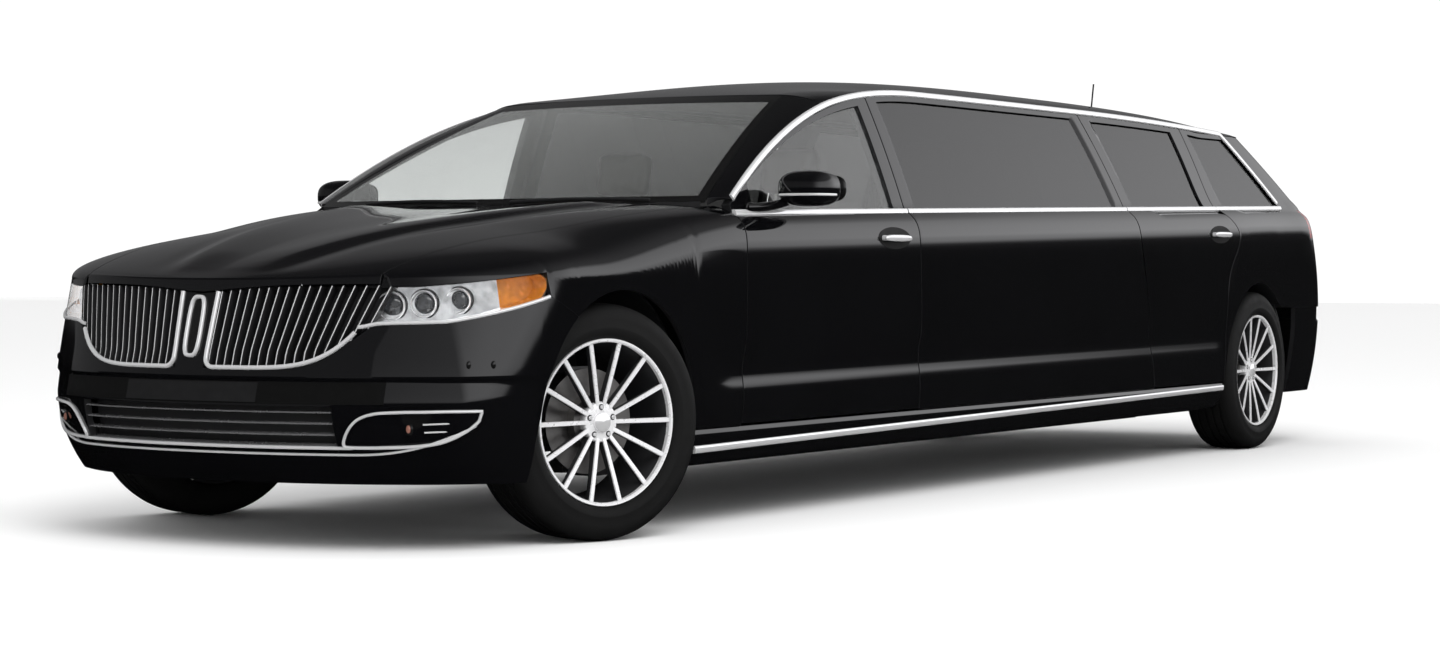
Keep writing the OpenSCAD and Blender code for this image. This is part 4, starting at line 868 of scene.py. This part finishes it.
# Split grille
g = Build()
pitch = (556 - divider_w) / (slats - 1 + 0.42)
section = [(-3, -40), (-4.4, -12), (-3.4, -3), (-1.7, 0), (1.7, 0), (3.4, -3), (4.4, -12), (3, -40)]
for i in range(slats):
    yc = divider_w + 4 + pitch * (i + 0.21)
    low, high = grille_low(yc) + 4, hood_edge(yc) - 3
    rows = []
    for k in span(14):
        z = mix(low, high, k)
        p = col_pt((0, yc), z)
        n = nose_at(p[1], z)[1]
        across = norm(np.cross(V(0, 0, 1), n))
        rows.append([g.point(p - n * 3 + across * a + n * b) for a, b in section])
    g.loft(rows, lambda q: 0 if q == 3 else 1, 1, 1)
back = [[col_pt((0, y), mix(grille_low(y) + 2, lamp_top, k)) for k in span(6)]
        for y in refine([divider_w, 240, 420, 556], 6)]
g.shell(deepen(back, 44), deepen(back, 52), mat=1)
edge_pts = []
for k in span(12):
    z = mix(hood_edge(divider_w) - 4, 580, k)
    edge_pts.append(nose_at(divider_w + 2 + lean * divider_w / wing_y * max(0, z - lean_z), z, 2.0))
for k in span(8)[1:]:
    a = pi / 2 * k
    edge_pts.append(nose_at(divider_w + 31 - 29 * cos(a), 580 - 29 * sin(a), 2.0))
for y in [divider_w + 36 + 4 * k for k in range(int((552 - divider_w - 36) / 4))]:
    edge_pts.append(nose_at(y, grille_low(y) + 3, 2.0))
along(g, edge_pts, 13, 7)
under = [nose_at(mix(552, 606, k), lamp_low((0, mix(552, 606, k))) + 2, 1.5) for k in span(8)]
for x in refine([front_x - 285, *SIDE_XS, lamp_tip_x + 8], 6)[1:]:
    z = lamp_low((1, x)) + 2
    p = on_skin(x, z)
    under.append((p - 1.5 * inward(p), -inward(p)))
along(g, under, 11, 6)
g.both()
ring = []
for a in circle(48):
    c, s = cos(a), sin(a)
    ring.append(nose_at(27 * copysign(abs(c) ** 0.5, c), emblem_z + 88 * copysign(abs(s) ** 0.6, s), 3.0))
along(g, ring, 12, 8, loop=True)
oval = nose_grid((-22, -11, 0, 11, 22), [emblem_z + z for z in (-80, -64, -32, 0, 32, 64, 80)], 1.5)
g.shell(oval, moved(oval, -4, 0, 0), mat=2)

# Bars of the lower intake, lip lines and fog pods
for i in range(4):
    z = 305.4 + 14 + 34 * i
    along(g, [nose_at(y, z, -8) for y in reach(497, 60)], 5, 4, 5, depth=14)
mouth = nose_grid(reach(505, 40), (300, 350, 400, 445), 0)
g.shell(deepen(mouth, 42), deepen(mouth, 48), mat=1)
panel = nose_grid(reach(640, 80), refine([446, 512], 6), 1.0)
g.shell(panel, moved(panel, -5, 0, 0), mat=6)
plate = nose_grid(reach(260, 40), refine([450, 508], 6), 2.5)
g.shell(plate, moved(plate, -3, 0, 0), mat=7)
pod_y, pod_w, pod_z, pod_h = 520, 340, 322, 104
POD = [(0, 0.03), (0.01, 0.19), (0.07, 0.52), (0.155, 0.785), (0.28, 0.935), (0.45, 0.98), (0.63, 0.99), (0.82, 1.0),
       (1.0, 1.0), (0.977, 0.73), (0.887, 0.41), (0.746, 0.14), (0.577, 0.02), (0.35, -0.02), (0.15, -0.03),
       (0.03, -0.02)]


def pod(t, side, out, share=1.0):
    """A point on a fog pod's outline, drawn in towards its middle by share, with its normal."""
    k = t * len(POD)
    i, f = int(k) % len(POD), k - int(k)
    p0, p1, p2, p3 = (V(*POD[(i + d) % len(POD)]) for d in (-1, 0, 1, 2))
    if i in (7, 8):
        q = mix(p1, p2, f)
    else:
        q = 0.5 * (2 * p1 + (p2 - p0) * f + (2 * p0 - 5 * p1 + 4 * p2 - p3) * f**2 + (3 * p1 - p0 - 3 * p2 + p3) * f**3)
    u, v = mix(V(0.5, 0.5), q, share)
    return [sided(p, side) for p in nose_at(pod_y + pod_w * u, pod_z + pod_h * v, out)]


def lip(y):
    """Height of the lower bright line, which runs under the pods and ends at their tips."""
    return 297 + 96 * unit((abs(y) - pod_y) / pod_w) ** 2.6


along(g, [nose_at(y, 317, 0.5) for y in reach(540, 60)], 9, 6)
along(g, [nose_at(y, lip(y), 0.5) for y in reach(845, 160)], 7, 5)
n_pod = 6 * len(POD)
for side in (1, -1):
    outline = lambda out, share=1.0: [pod(k / n_pod, side, out, share) for k in range(n_pod)]
    along(g, outline(1.0), 9, 7, loop=True)
    rings = [outline(0.8)] + [outline(-9.2, share) for share in (0.97, 0.7, 0.4, 0.15)]
    g.loft([[g.point(p) for p, n in ring] for ring in rings], 4, end=4)
    p = nose_at(699, 372, -9)[0]
    g.blob(sided(p, side), V(9, 15, 19), mat=4, n=24, m=12)
    g.blob(sided(p + V(4, 2, 0), side), V(7, 9, 13), mat=3, n=24, m=12)
    for z in (362, 386):
        bar = [nose_at(mix(734, 812, k), z + 4 * k, -6) for k in span(12)]
        along(g, [(sided(p, side), sided(n, side)) for p, n in bar], 5, 3)
g.make("grille_trim", "body", [CHROME, PLASTIC, GLOSS, FOG, GLOSS, BAR, BAND, PLATE], ["grille", "fog_lamps"], angle=50,
       slot="chrome")

# Closing pieces behind the hood's front corners, above the headlamps
tip = nose_grid(refine([552, 640], 6), refine([791, 830], 3), -12)
Build().shell(tip, moved(tip, -4, 0, 0)).both().make("fender_tips", "body", [PAINT], slot="black_paint")

# Headlamps
lamp_cols = [(0, y) for y in refine([559, 611], 6)]
lamp_cols += [(1, x) for x in refine(SIDE_XS + [lamp_tip_x + 46], 6) + [lamp_tip_x + 12 + k for k in (24, 16, 9, 4, 0)]]
lamp = []
for c in lamp_cols:
    r = 24 * unit(1 - (c[1] - lamp_tip_x - 12) / 34) ** 2 if c[0] == 1 else 0
    high = (lamp_top if c[0] == 0 else lamp_hi(c[1])) - 2
    lamp.append([col_pt(c, mix(lamp_low(c) + 5 + r, high - r, k)) for k in span(8)])
Build().shell(lamp, deepen(lamp, 4)).both().make(
    "lamp_lens", "body", [LENS], ["headlamps"], angle=60, slot="lamp_glass")
h = Build()
bowl, rear = deepen(lamp, 6), deepen(lamp, 58)
for i in range(len(lamp) - 1):
    amber = 2 if lamp[i][0][0] < front_x - 435 else 1
    ids = [[h.point(p) for p in rear[q]] for q in (i, i + 1)]
    for j in range(8):
        h.face([ids[0][j], ids[1][j], ids[1][j + 1], ids[0][j + 1]], amber)
    for j in (0, 8):
        near = [h.point(bowl[q][j]) for q in (i, i + 1)]
        h.face([near[0], near[1], ids[1][j], ids[0][j]], amber if amber == 2 else 0)
for i in (0, -1):
    for j in range(8):
        h.face([h.point(q) for q in (bowl[i][j], bowl[i][j + 1], rear[i][j + 1], rear[i][j])], 2 if i else 0)
for x, y, z, r in ((3468, 606, 735, 44), (3418, 688, 741, 41), (3352, 766, 750, 39)):
    d = V(0.93, 0.36, 0)
    m = np.eye(4)
    m[:3, 0], m[:3, 1], m[:3, 2], m[:3, 3] = V(-0.36, 0.93, 0), d, V(0, 0, 1), V(x, y, z) - d * 14
    h.turn([(r, -30), (r, 4), (r - 3, 7), (r - 6, 4), (r - 8, -12), (r - 8, -30)], m, n=40, mat=0)
    h.turn([(r + 4, -34), (r + 4, -2), (r + 0.5, -2), (r + 0.5, -34)], m, n=40, mat=4)
    h.blob(V(x, y, z) - d * 22, V(16, r - 9, r - 9), np.array(m[:3, :3])[:, [1, 0, 2]], mat=3, n=28, m=14)
h.both().make("lamp_bowl", "body", [CHROME, SILVER, AMBER, BULB, PLASTIC], angle=50, slot="lamp_glass")

# Rear bumper
rys = refine([0, 150, 300, 450, 600, 720], 4)
rzs = refine([250, 300, 400, 500, 585], 4) + [590, 600, 630, 660]


def rear_pt(i, z):
    if i < len(rys):
        return V(tail_pt(rys[i], z), rys[i], z)
    if i < len(rys) + 16:
        a0 = acos(min(1, (rys[-1] / tail_w(z)) ** 1.5))
        return tail_corner(mix(a0, 0, (i - len(rys) + 1) / 16), z)
    b = tail_x(z) + corner_r
    e = axle_r - sqrt(max(1, (arch_r + 8) ** 2 - (z - hub_z) ** 2))
    return on_skin(mix(b, min(e, b + 200), (i - len(rys) - 15) / 10), z)


def step_in(p):
    return p + V(0.2 + (22 if p[2] > 590 else 0) * unit((axle_r - arch_r - p[0]) / 300), 0, 0)


def rear_inward(p):
    k = unit((axle_r - arch_r - 60 - p[0]) / 250)
    return norm(V(k, -np.sign(p[1]) * min(1, abs(p[1]) / 700) * (1.05 - k), 0))


full = both_sides([[step_in(rear_pt(i, z)) for z in rzs] for i in range(len(rys) + 26)])[::-1]
Build().shell(full, [[p + 20 * rear_inward(p) for p in r] for r in full], wall=1).skin(
    "rear_bumper_skin", "rear_bumper")


# Liners between the rear arches and the wheelhouses
def liner(r):
    angles = [radians(mix(-8, 199, k)) for k in span(60)]
    return [[V(axle_r + r * cos(a), y, hub_z + r * sin(a)) for a in angles] for y in (690, 780, 860, 912)]


Build().shell(liner(418), liner(424)).both().make("rear_liners", "body", [PLASTIC], slot="dark_plastic")

# Bright work along the sides
CANT = V(0, 0.94, 0.34)
b = Build()
rear_pts = []
i86 = min(range(len(flat)), key=lambda i: abs(flat[i] - 0.86))
for j in range(len(ROWS) - 1, len(LOW), -1):
    rear_pts.append(mix(quarter_outer[i86][j], quarter_outer[i86 + 1][j], 0.3) + V(-4, 2, 0))
path = []
for k in span(120):
    x = mix(door_f0 - 24, rear_pts[0][0] + 34, k)
    path.append(rail_row(x, [0.06])[0] + V(0, 1.5, 2))
corner_a, corner_b = path[-1], rear_pts[0]
tip = V(corner_b[0] + 6, corner_a[1], corner_a[2] - 1)
bend = [mix(mix(corner_a, tip, t), mix(tip, corner_b, t), t) for t in span(6)[1:-1]]
path += bend + rear_pts[1:]
trim(b, path, [CANT] * len(path), 24, 6)


def belt_strip(x0, x1):
    pts = []
    for k in span(40):
        x = mix(x0, x1, k)
        z = belt_z(x) + 12
        pts.append(V(x, glass_y(x, z) + 6, z))
    return trim(Build(), pts, [V(0, 0.97, 0.24)] * len(pts), 26, 9, depth=6)


b.join(belt_strip(post_edge(1030) - 6, rear_edge(1100) + 6))
b.join(belt_strip(rear_end(1150) - 6, quarter_outer[i86][len(LOW)][0]))
sill_y = lambda z: mix(935, 943, unit((z - 260) / 45))
pts = []
for k in span(60):
    x = mix(axle_f - arch_r - 20, axle_r + arch_r + 18, k)
    z = mix(258, 303, k)
    pts.append(V(x, sill_y(z) - 1, z))
trim(b, pts, [V(0, 1, -0.1)] * len(pts), 25, 7)
b.both().make("side_bright", "body", [CHROME], angle=50, slot="chrome")
HANDLES = (("front", door_f0 - 4, post_edge(1030) + 5, 1020, 957),
           ("rear", rear_edge(1100) - 5, rear_end(1130) + 6, -2060, 1003))
for name, x0, x1, hx, hz in HANDLES:
    strip_b = belt_strip(x0, x1)
    hy = skin_y(hx, hz)
    rings = []
    for share in (1.0, 0.75, 0.5, 0.25):
        dish = [(hx + 120 * share * cos(a), hz + 40 * share * sin(a)) for a in circle(40)]
        rings.append([strip_b.point(V(x, skin_y(x, z) + 0.8, z)) for x, z in dish])
    strip_b.loft(rings, 1, end=1)
    strip_b.blob(V(hx, hy + 16, hz), V(98, 9, 12), power=3.2, mat=0)
    for s in (-1, 1):
        strip_b.blob(V(hx + s * 84, hy + 6, hz), V(13, 14, 10), power=2.6, mat=0, n=24, m=12)
    for side, q in strip_b.sides():
        q.make(f"{name}_door_bright_{side}", f"{name}_door_{side}", [CHROME, BAND], angle=50, slot="chrome")

# Door mirrors
m = Build()
at = V(door_f0 - 305, body_w / 2 + 50, belt_h + 100)
tilt = np.array(Matrix.Rotation(radians(8), 3, "Z"))
m.blob(at + V(-12, 0, 0), V(100, 101, 62), tilt, power=2.7, n=64, m=32)
m.blob(at + V(-98, 0, 2), V(14, 88, 47), tilt, power=3.2, mat=1)
rim = []
for k in span(40):
    a = mix(-0.62, 0.5, k) * pi
    d = tilt @ V(cos(a), sin(a), 0)
    r = 1 / (abs(cos(a) / 101) ** 2.7 + abs(sin(a) / 102) ** 2.7) ** (1 / 2.7)
    rim.append((at + V(-12, 0, -22) + d * (r * 0.955), d))
along(m, rim, 9, 4, mat=2)
foot = V(door_f0 - 106, 905, belt_h + 33)
arm = [mix(at + V(-10, -60, -36), foot, k) + V(0, 0, -8 * sin(pi * k)) for k in span(10)]
m.sweep(arm, [V(0, 0, 1)] * 11, [V(0.85, 0.5, 0)] * 11, [(16 * cos(a), 28 * sin(a)) for a in circle(20)])
m.blob(foot + V(0, 4, -2), V(30, 6, 20), power=2.6, mat=1)
for side, q in m.sides():
    q.make(f"mirror_{side}_shell", f"front_door_{side}", [PAINT, GLOSS, CHROME], [f"mirror_{side}"], angle=45,
           slot="black_paint")


# Wheels
def place(x, y, yaw, out):
    m = np.eye(4)
    m[:3, :3] = np.array(Matrix.Rotation(radians(yaw), 3, "Z"))
    m[:3, 3] = V(x, y, hub_z) + out * m[:3, 1]
    return m


king_y = track / 2 - scrub
WHEELS = {"front_left": place(axle_f, king_y, -steer_rest, scrub),
          "front_right": place(axle_f, -king_y, 180 - steer_rest, scrub),
          "rear_left": place(axle_r, 0, 0, track / 2), "rear_right": place(axle_r, 0, 180, track / 2)}
R, W = tyre_d / 2, tyre_w / 2
rim_r, face_y = rim_d / 2, tyre_w / 2 - 30
half_tyre = [(rim_r - 1, face_y + 12), (rim_r + 4, W - 10), (rim_r + 14, W - 3), (rim_r + 30, W), (rim_r + 33, W),
             (rim_r + 36, W - 1.2), (rim_r + 58, W - 1.6), (R - 38, W - 4), (R - 22, W - 10), (R - 10, W - 20),
             (R - 4, W - 31), (R - 1, W - 44)]
tread = []
for g0 in (56, 18, -18, -56):
    tread += [(R - 0.1, g0 + 5), (R - 7, g0 + 4), (R - 7, g0 - 4), (R - 0.1, g0 - 5)]
tyre_profile = half_tyre + tread + [(r, -y) for r, y in half_tyre[:0:-1]] + [(rim_r - 1, 16 - W)]
rim_edge = [(-12, 2), (-13, 13), (-9, 18), (-3, 18.5), (-1.5, 14), (-3, 6), (-12, -4)]
barrel = [(rim_r - 12, face_y - 2), (rim_r - 18, face_y - 16), (rim_r - 26, face_y - 60), (rim_r - 26, -W + 34),
          (rim_r - 8, -W + 18), (rim_r - 3, -W + 18), (rim_r - 14, -W + 40), (rim_r - 14, face_y - 20)]
disc = [(30.2, -2), (78, -2), (78, 12), (165, 12), (165, 1), (84, 1), (84, face_y - 44), (30.2, face_y - 44)]
hub = [(0.5, -50), (60, -50), (64, -22), (60, -15), (46, -13), (0.5, -13)]
hub_cap = [(0.5, -14), (31, -14), (31, -5), (27, -2.5), (0.5, -1)]
from_face = lambda r0, pts: [(r0 + r, face_y + y) for r, y in pts]
for name, pl in WHEELS.items():
    body = "wheel_" + name
    Build().turn(tyre_profile, pl, n=120).make(
        f"tyre_{name}_skin", body, [RUBBER], [f"tyre_{name}"], angle=30, slot="tyre")
    w = Build()
    w.turn(from_face(rim_r, rim_edge), pl, mat=0)
    w.turn(barrel, pl, mat=1)
    w.turn(disc, pl, n=72, mat=2)
    for a in circle(spokes):
        d, t = V(cos(a), 0, sin(a)), V(-sin(a), 0, cos(a))
        rows = []
        for k in span(12):
            r = mix(36, rim_r - 11, k)
            y = face_y - 16 * (1 - k) ** 2 + 10 * k * k
            hw, hd = mix(7, 8.2, k), mix(34, 24, k)
            sec = [(-hw, y - 4), (-hw * 0.8, y), (hw * 0.8, y), (hw, y - 4), (hw * 0.55, y - hd), (-hw * 0.55, y - hd)]
            rows.append([w.point(pl @ np.append(d * r + t * s + V(0, q, 0), 1)) for s, q in sec])
        w.loft(rows, lambda q: 0 if q < 3 else 1, 0, 0)
    w.turn(from_face(0, hub), pl, n=64, mat=0)
    w.turn(from_face(0, hub_cap), pl, n=48, mat=3)
    for i in range(5):
        a = 2 * pi * (i + 0.25) / 5
        q = np.eye(4)
        q[:3, 3] = (46.5 * cos(a), face_y - 13.2, 46.5 * sin(a))
        w.turn([(0.5, -2), (9.5, -2), (9.5, 0.9), (0.5, 0.9)], pl @ q, n=24, mat=1)
        w.turn([(0.5, 0), (6.5, 0), (6.5, 6), (5, 8), (0.5, 8)], pl @ q, n=6, mat=3)
    w.make(f"rim_{name}_face", body, [ALLOY, DARK_ALLOY, STEEL, CHROME], [f"rim_{name}"], angle=40, slot="wheel_alloy")

# Wipers and small fittings on the body
b = Build()
for y0, y1 in ((640, 120), (-20, -560)):
    pts = []
    for k in span(20):
        u = mix(y0, y1, k) / cowl_w
        pts.append(screen_pt(u, 0.012 + 0.015 * sin(pi * k)) + V(1.5, 0, 3.5))
    trim(b, pts, [V(0.4, 0, 0.92)] * len(pts), 14, 4, depth=3)
for side in (1, -1):
    for x, z in ((3385, 562), (3325, 562)):
        b.blob(V(x, side * skin_y(x, z), z), V(9, 5, 12), mat=1, n=20, m=10)
b.make("wipers", "body", [PLASTIC, GLOSS], slot="dark_plastic")

# Sills
profile = [(800, 225), (853, 207), (895, 205), (908, 212), (932, 256), (941, 292), (943, 306), (939, 325), (800, 325)]
b = Build()
rows = [[b.point((x, y, z)) for y, z in profile] for x in (axle_r + arch_r + 12, axle_f - arch_r - 12)]
b.loft(rows, 0, 0, 0).both().make("sill_skin", "body", [PAINT], ["sills"], bevel=5.0, angle=14, slot="black_paint")


# Seats: pads that swell under pressure, with sewn channels pressed in afterwards
def coords(o):
    v = np.empty(len(o.data.vertices) * 3)
    o.data.vertices.foreach_get("co", v)
    return v


def swell(o, voxel, cap):
    """Remesh a pad and blow it up a little, as filled leather."""
    m = o.modifiers.new("even", "REMESH")
    m.mode, m.voxel_size = "VOXEL", voxel
    settle(o)
    start = coords(o)
    c = o.modifiers.new("fill", "CLOTH")
    c.settings.quality = 5
    c.settings.use_pressure = True
    c.settings.uniform_pressure_force = 4.0
    c.settings.effector_weights.gravity = 0.0
    c.settings.tension_stiffness = c.settings.compression_stiffness = 18.0
    sc = bpy.context.scene
    for f in range(1, 21):
        sc.frame_set(f)
    end = coords(o.evaluated_get(bpy.context.evaluated_depsgraph_get()))
    o.modifiers.remove(c)
    sc.frame_set(1)
    a, d = start.reshape(-1, 3), (end - start).reshape(-1, 3)
    far = np.linalg.norm(d, axis=1, keepdims=True)
    o.data.vertices.foreach_set("co", (a + d * np.minimum(1, cap / np.maximum(far, 1e-9))).ravel())


def settle(o):
    """Apply the modifiers of a piece."""
    dg = bpy.context.evaluated_depsgraph_get()
    me = bpy.data.meshes.new_from_object(o.evaluated_get(dg), depsgraph=dg)
    o.modifiers.clear()
    o.data = me


def pad(name, centre, size, lean, mat, slot, voxel=9.0, cap=22.0, channels=(), node=None, both=False, shrink=12):
    """A cushion: centre and size in mm, lean back in degrees about y.

    Channels are (axis, place as a share of the half size, depth in mm).
    """
    r = V(*size) / 2 - shrink
    b = Build().blob(V(0, 0, 0), r, power=6.0, n=56, m=28)
    v = np.array(b.v) * 1000
    u = v / r
    v[:, 0] *= 1 - 0.05 * (1 - u[:, 1] ** 4)
    v[:, 1] *= 1 - 0.05 * (1 - u[:, 0] ** 4)
    b.v = [tuple(q / 1000) for q in v]
    o = b.make(name, "body", [mat], slot=slot)
    swell(o, voxel / 1000, cap / 1000)
    v = coords(o).reshape(-1, 3) * 1000
    v /= np.maximum(1, np.abs(v).max(axis=0) / (V(*size) / 2))
    u = v / (V(*size) / 2)
    face = np.clip((u[:, 2] - 0.3) / 0.4, 0, 1)
    for axis, at, depth in channels:
        d = (u[:, axis] - at) * size[axis] / 2
        v[:, 2] -= depth * face * np.exp(-((d / 9) ** 2))
    edge = (np.maximum(np.abs(u[:, 0]), np.abs(u[:, 1])) - 0.86) * min(size[:2]) / 2
    v[:, 2] -= 4 * face * np.exp(-((edge / 6) ** 2))
    v = v @ np.array(Matrix.Rotation(radians(lean), 3, "Y")).T + V(*centre)
    o.data.vertices.foreach_set("co", (v / 1000).ravel())
    o.data.polygons.foreach_set("use_smooth", [True] * len(o.data.polygons))
    o.data.update()
    twins = [o]
    if both:
        t = put(name + "_right", o.data.copy())
        o.name = name + "_left"
        v[:, 1] *= -1
        t.data.vertices.foreach_set("co", (v / 1000).ravel())
        t.data.flip_normals()
        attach(t, "body")
        twins.append(t)
    for t in twins:
        m = t.modifiers.new("smooth", "SUBSURF")
        m.levels = m.render_levels = 1
    if node:
        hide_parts(*node)


seat_x = door_f0 - 1080
FRONT = dict(mat=SEAT, slot="seat_leather", both=True)
pad("front_cushion", (seat_x + 225, 380, 512), (520, 516, 150), -4, **FRONT, node=["front_seats"],
    channels=((1, -0.36, 9), (1, 0.36, 9), (0, -0.1, 6), (0, 0.35, 6)))
pad("front_back", (seat_x - 128, 380, 845), (540, 510, 120), 78, **FRONT,
    channels=((1, -0.4, 8), (1, 0.4, 8), (0, 0.2, 6), (0, -0.3, 6)))
pad("front_headrest", (seat_x - 170, 380, 1215), (190, 258, 88), 82, **FRONT, cap=14, shrink=8)
b = Build()
for y in (315, 445):
    b.sweep([V(seat_x - 172, y, 1080), V(seat_x - 170, y, 1150)], [V(0, 1, 0)] * 2, [V(1, 0, 0)] * 2,
            [(6 * cos(a), 6 * sin(a)) for a in circle(16)])
b.box((seat_x + 20, 150, 276), (seat_x + 430, 610, 445), 1)
b.box((seat_x - 60, 140, 420), (seat_x + 40, 158, 560), 1)
b.both().make("seat_frames", "body", [STEEL, PLASTIC], bevel=6.0, slot="dark_plastic")
rear_seat = door_r1 + 330
bench_l = door_f1 - 500 - door_r0
REAR = dict(mat=LOUNGE, slot="lounge_leather", voxel=16)
SEWN = ((1, -0.33, 8), (1, 0.33, 8), (0, 0.1, 6))
pad("bench_cushion", (rear_seat + 225, 0, 512), (520, 1236, 150), -4, **REAR, node=["lounge_seats"], channels=SEWN)
pad("bench_back", (rear_seat - 128, 0, 820), (520, 1230, 120), 78, **REAR, channels=SEWN)
mid_x = door_r0 + 260 + bench_l / 2
cross = lambda depth: [(0, a, depth) for a in (-0.6, -0.2, 0.2, 0.6)]
pad("side_cushion", (mid_x, -545, 520), (bench_l - 6, 480, 150), 0, **REAR, channels=cross(8))
pad("side_back", (mid_x, -748, 790), (bench_l - 6, 80, 370), 0, **REAR, cap=14, channels=cross(6), shrink=8)
b = Build()
b.box((rear_seat + 10, -612, 276), (rear_seat + 440, 612, 440))
b.box((door_r0 + 264, -780, 276), (door_r0 + 256 + bench_l, -320, 446))
b.make("bench_bases", "body", [PLASTIC], bevel=8.0, slot="lounge_leather")

# Materials of the solids that stay in view
STAYS = {"floor_pan": CHASSIS, "frame_rails": CHASSIS, "cowl": PLASTIC, "hinge_posts": EDGE,
         "radiator_carrier": PLASTIC, "engine": CAST, "front_subframe": CHASSIS, "rear_axle": CHASSIS,
         "wheelhouses": PLASTIC, "exhaust": PIPE, "dashboard": DASH, "antenna": PLASTIC,
         "knuckle_left": CAST, "knuckle_right": CAST}
for node, mat in STAYS.items():
    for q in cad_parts[node].material_slots:
        q.material = mat

# Stage, light and camera
sc = bpy.context.scene
sc.view_settings.view_transform = "Standard"
sc.view_settings.look = "None"
world = bpy.data.worlds.new("studio")
sc.world = world
world.use_nodes = True
fill(world.node_tree.nodes["Background"], {0: (1, 1, 1, 1), 1: 1.05})
floor_mat, nodes = tree_of("pale floor")[:2]
fill(nodes["Principled BSDF"], {"Base Color": (0.93, 0.93, 0.93, 1), "Roughness": 0.9})
me = bpy.data.meshes.new("floor")
me.from_pydata([(-60, -60, 0), (60, -60, 0), (60, 60, 0), (-60, 60, 0)], [], [(0, 1, 2, 3)])
me.materials.append(floor_mat)
floor = put("floor", me)
floor.visible_glossy = False

# A dome that only reflections see: its brightness goes with height, and is masked towards one side
dome_mat, nodes, add, link = tree_of("studio dome")
nodes.clear()
co, sep, ramp, em, out = map(add, ("TexCoord", "SeparateXYZ", "ValToRGB", "Emission", "OutputMaterial"))
link(co, "Generated", sep, 0)
link(sep, "Z", ramp, 0)
link(ramp, 0, em, 0)
link(em, 0, out, 0)
mask = fill(add("MapRange"), {"From Min": 0.3, "From Max": 0.74, "To Min": 0.1, "To Max": 1.0})
mask.interpolation_type = "SMOOTHSTEP"
turned = fill(add("Math"), {1: -0.35})
turned.operation = "MULTIPLY_ADD"
link(sep, "X", turned, 0)
link(sep, "Y", turned, 2)
link(turned, 0, mask, "Value")
link(mask, "Result", em, 1)
stops = ((0.0, 0.012), (0.51, 0.015), (0.522, 0.05), (0.533, 1.0), (0.56, 1.35), (0.65, 1.25), (0.73, 1.1),
         (0.79, 0.3), (1.0, 0.25))
els = ramp.color_ramp.elements
while len(els) < len(stops):
    els.new(0.5)
for e, (at, v) in zip(els, stops):
    e.position, e.color = at, (v, v, v * 1.02, 1)
bm = bmesh.new()
bmesh.ops.create_uvsphere(bm, u_segments=64, v_segments=48, radius=70)
me = bpy.data.meshes.new("dome")
bm.to_mesh(me)
bm.free()
me.materials.append(dome_mat)
dome = put("dome", me)
for flag in ("visible_camera", "visible_diffuse", "visible_transmission", "visible_shadow", "visible_volume_scatter"):
    setattr(dome, flag, False)

key = bpy.data.lights.new("key", "AREA")
key.shape, key.size, key.size_y, key.energy = "RECTANGLE", 8, 8, 900
lamp_o = put("key", key)
lamp_o.location = (7, 7, 9)
lamp_o.rotation_euler = (Vector((0, 0, 0.6)) - lamp_o.location).to_track_quat("-Z", "Y").to_euler()
lamp_o.visible_glossy = False

cam = bpy.data.cameras.new("camera")
sensor, focal_px, photo_w = 36.0, 2803, 1440
cam.sensor_width, cam.lens = sensor, focal_px / photo_w * sensor
cam.shift_x, cam.shift_y = 0.0006, 0.0127
yaw, pitch = radians(-147.74), radians(-1.53)
eye = put("camera", cam)
eye.location = (9.949, 5.847, 0.840)
aim = Vector((cos(yaw) * cos(pitch), sin(yaw) * cos(pitch), sin(pitch)))
eye.rotation_euler = aim.to_track_quat("-Z", "Y").to_euler()
sc.camera = eye
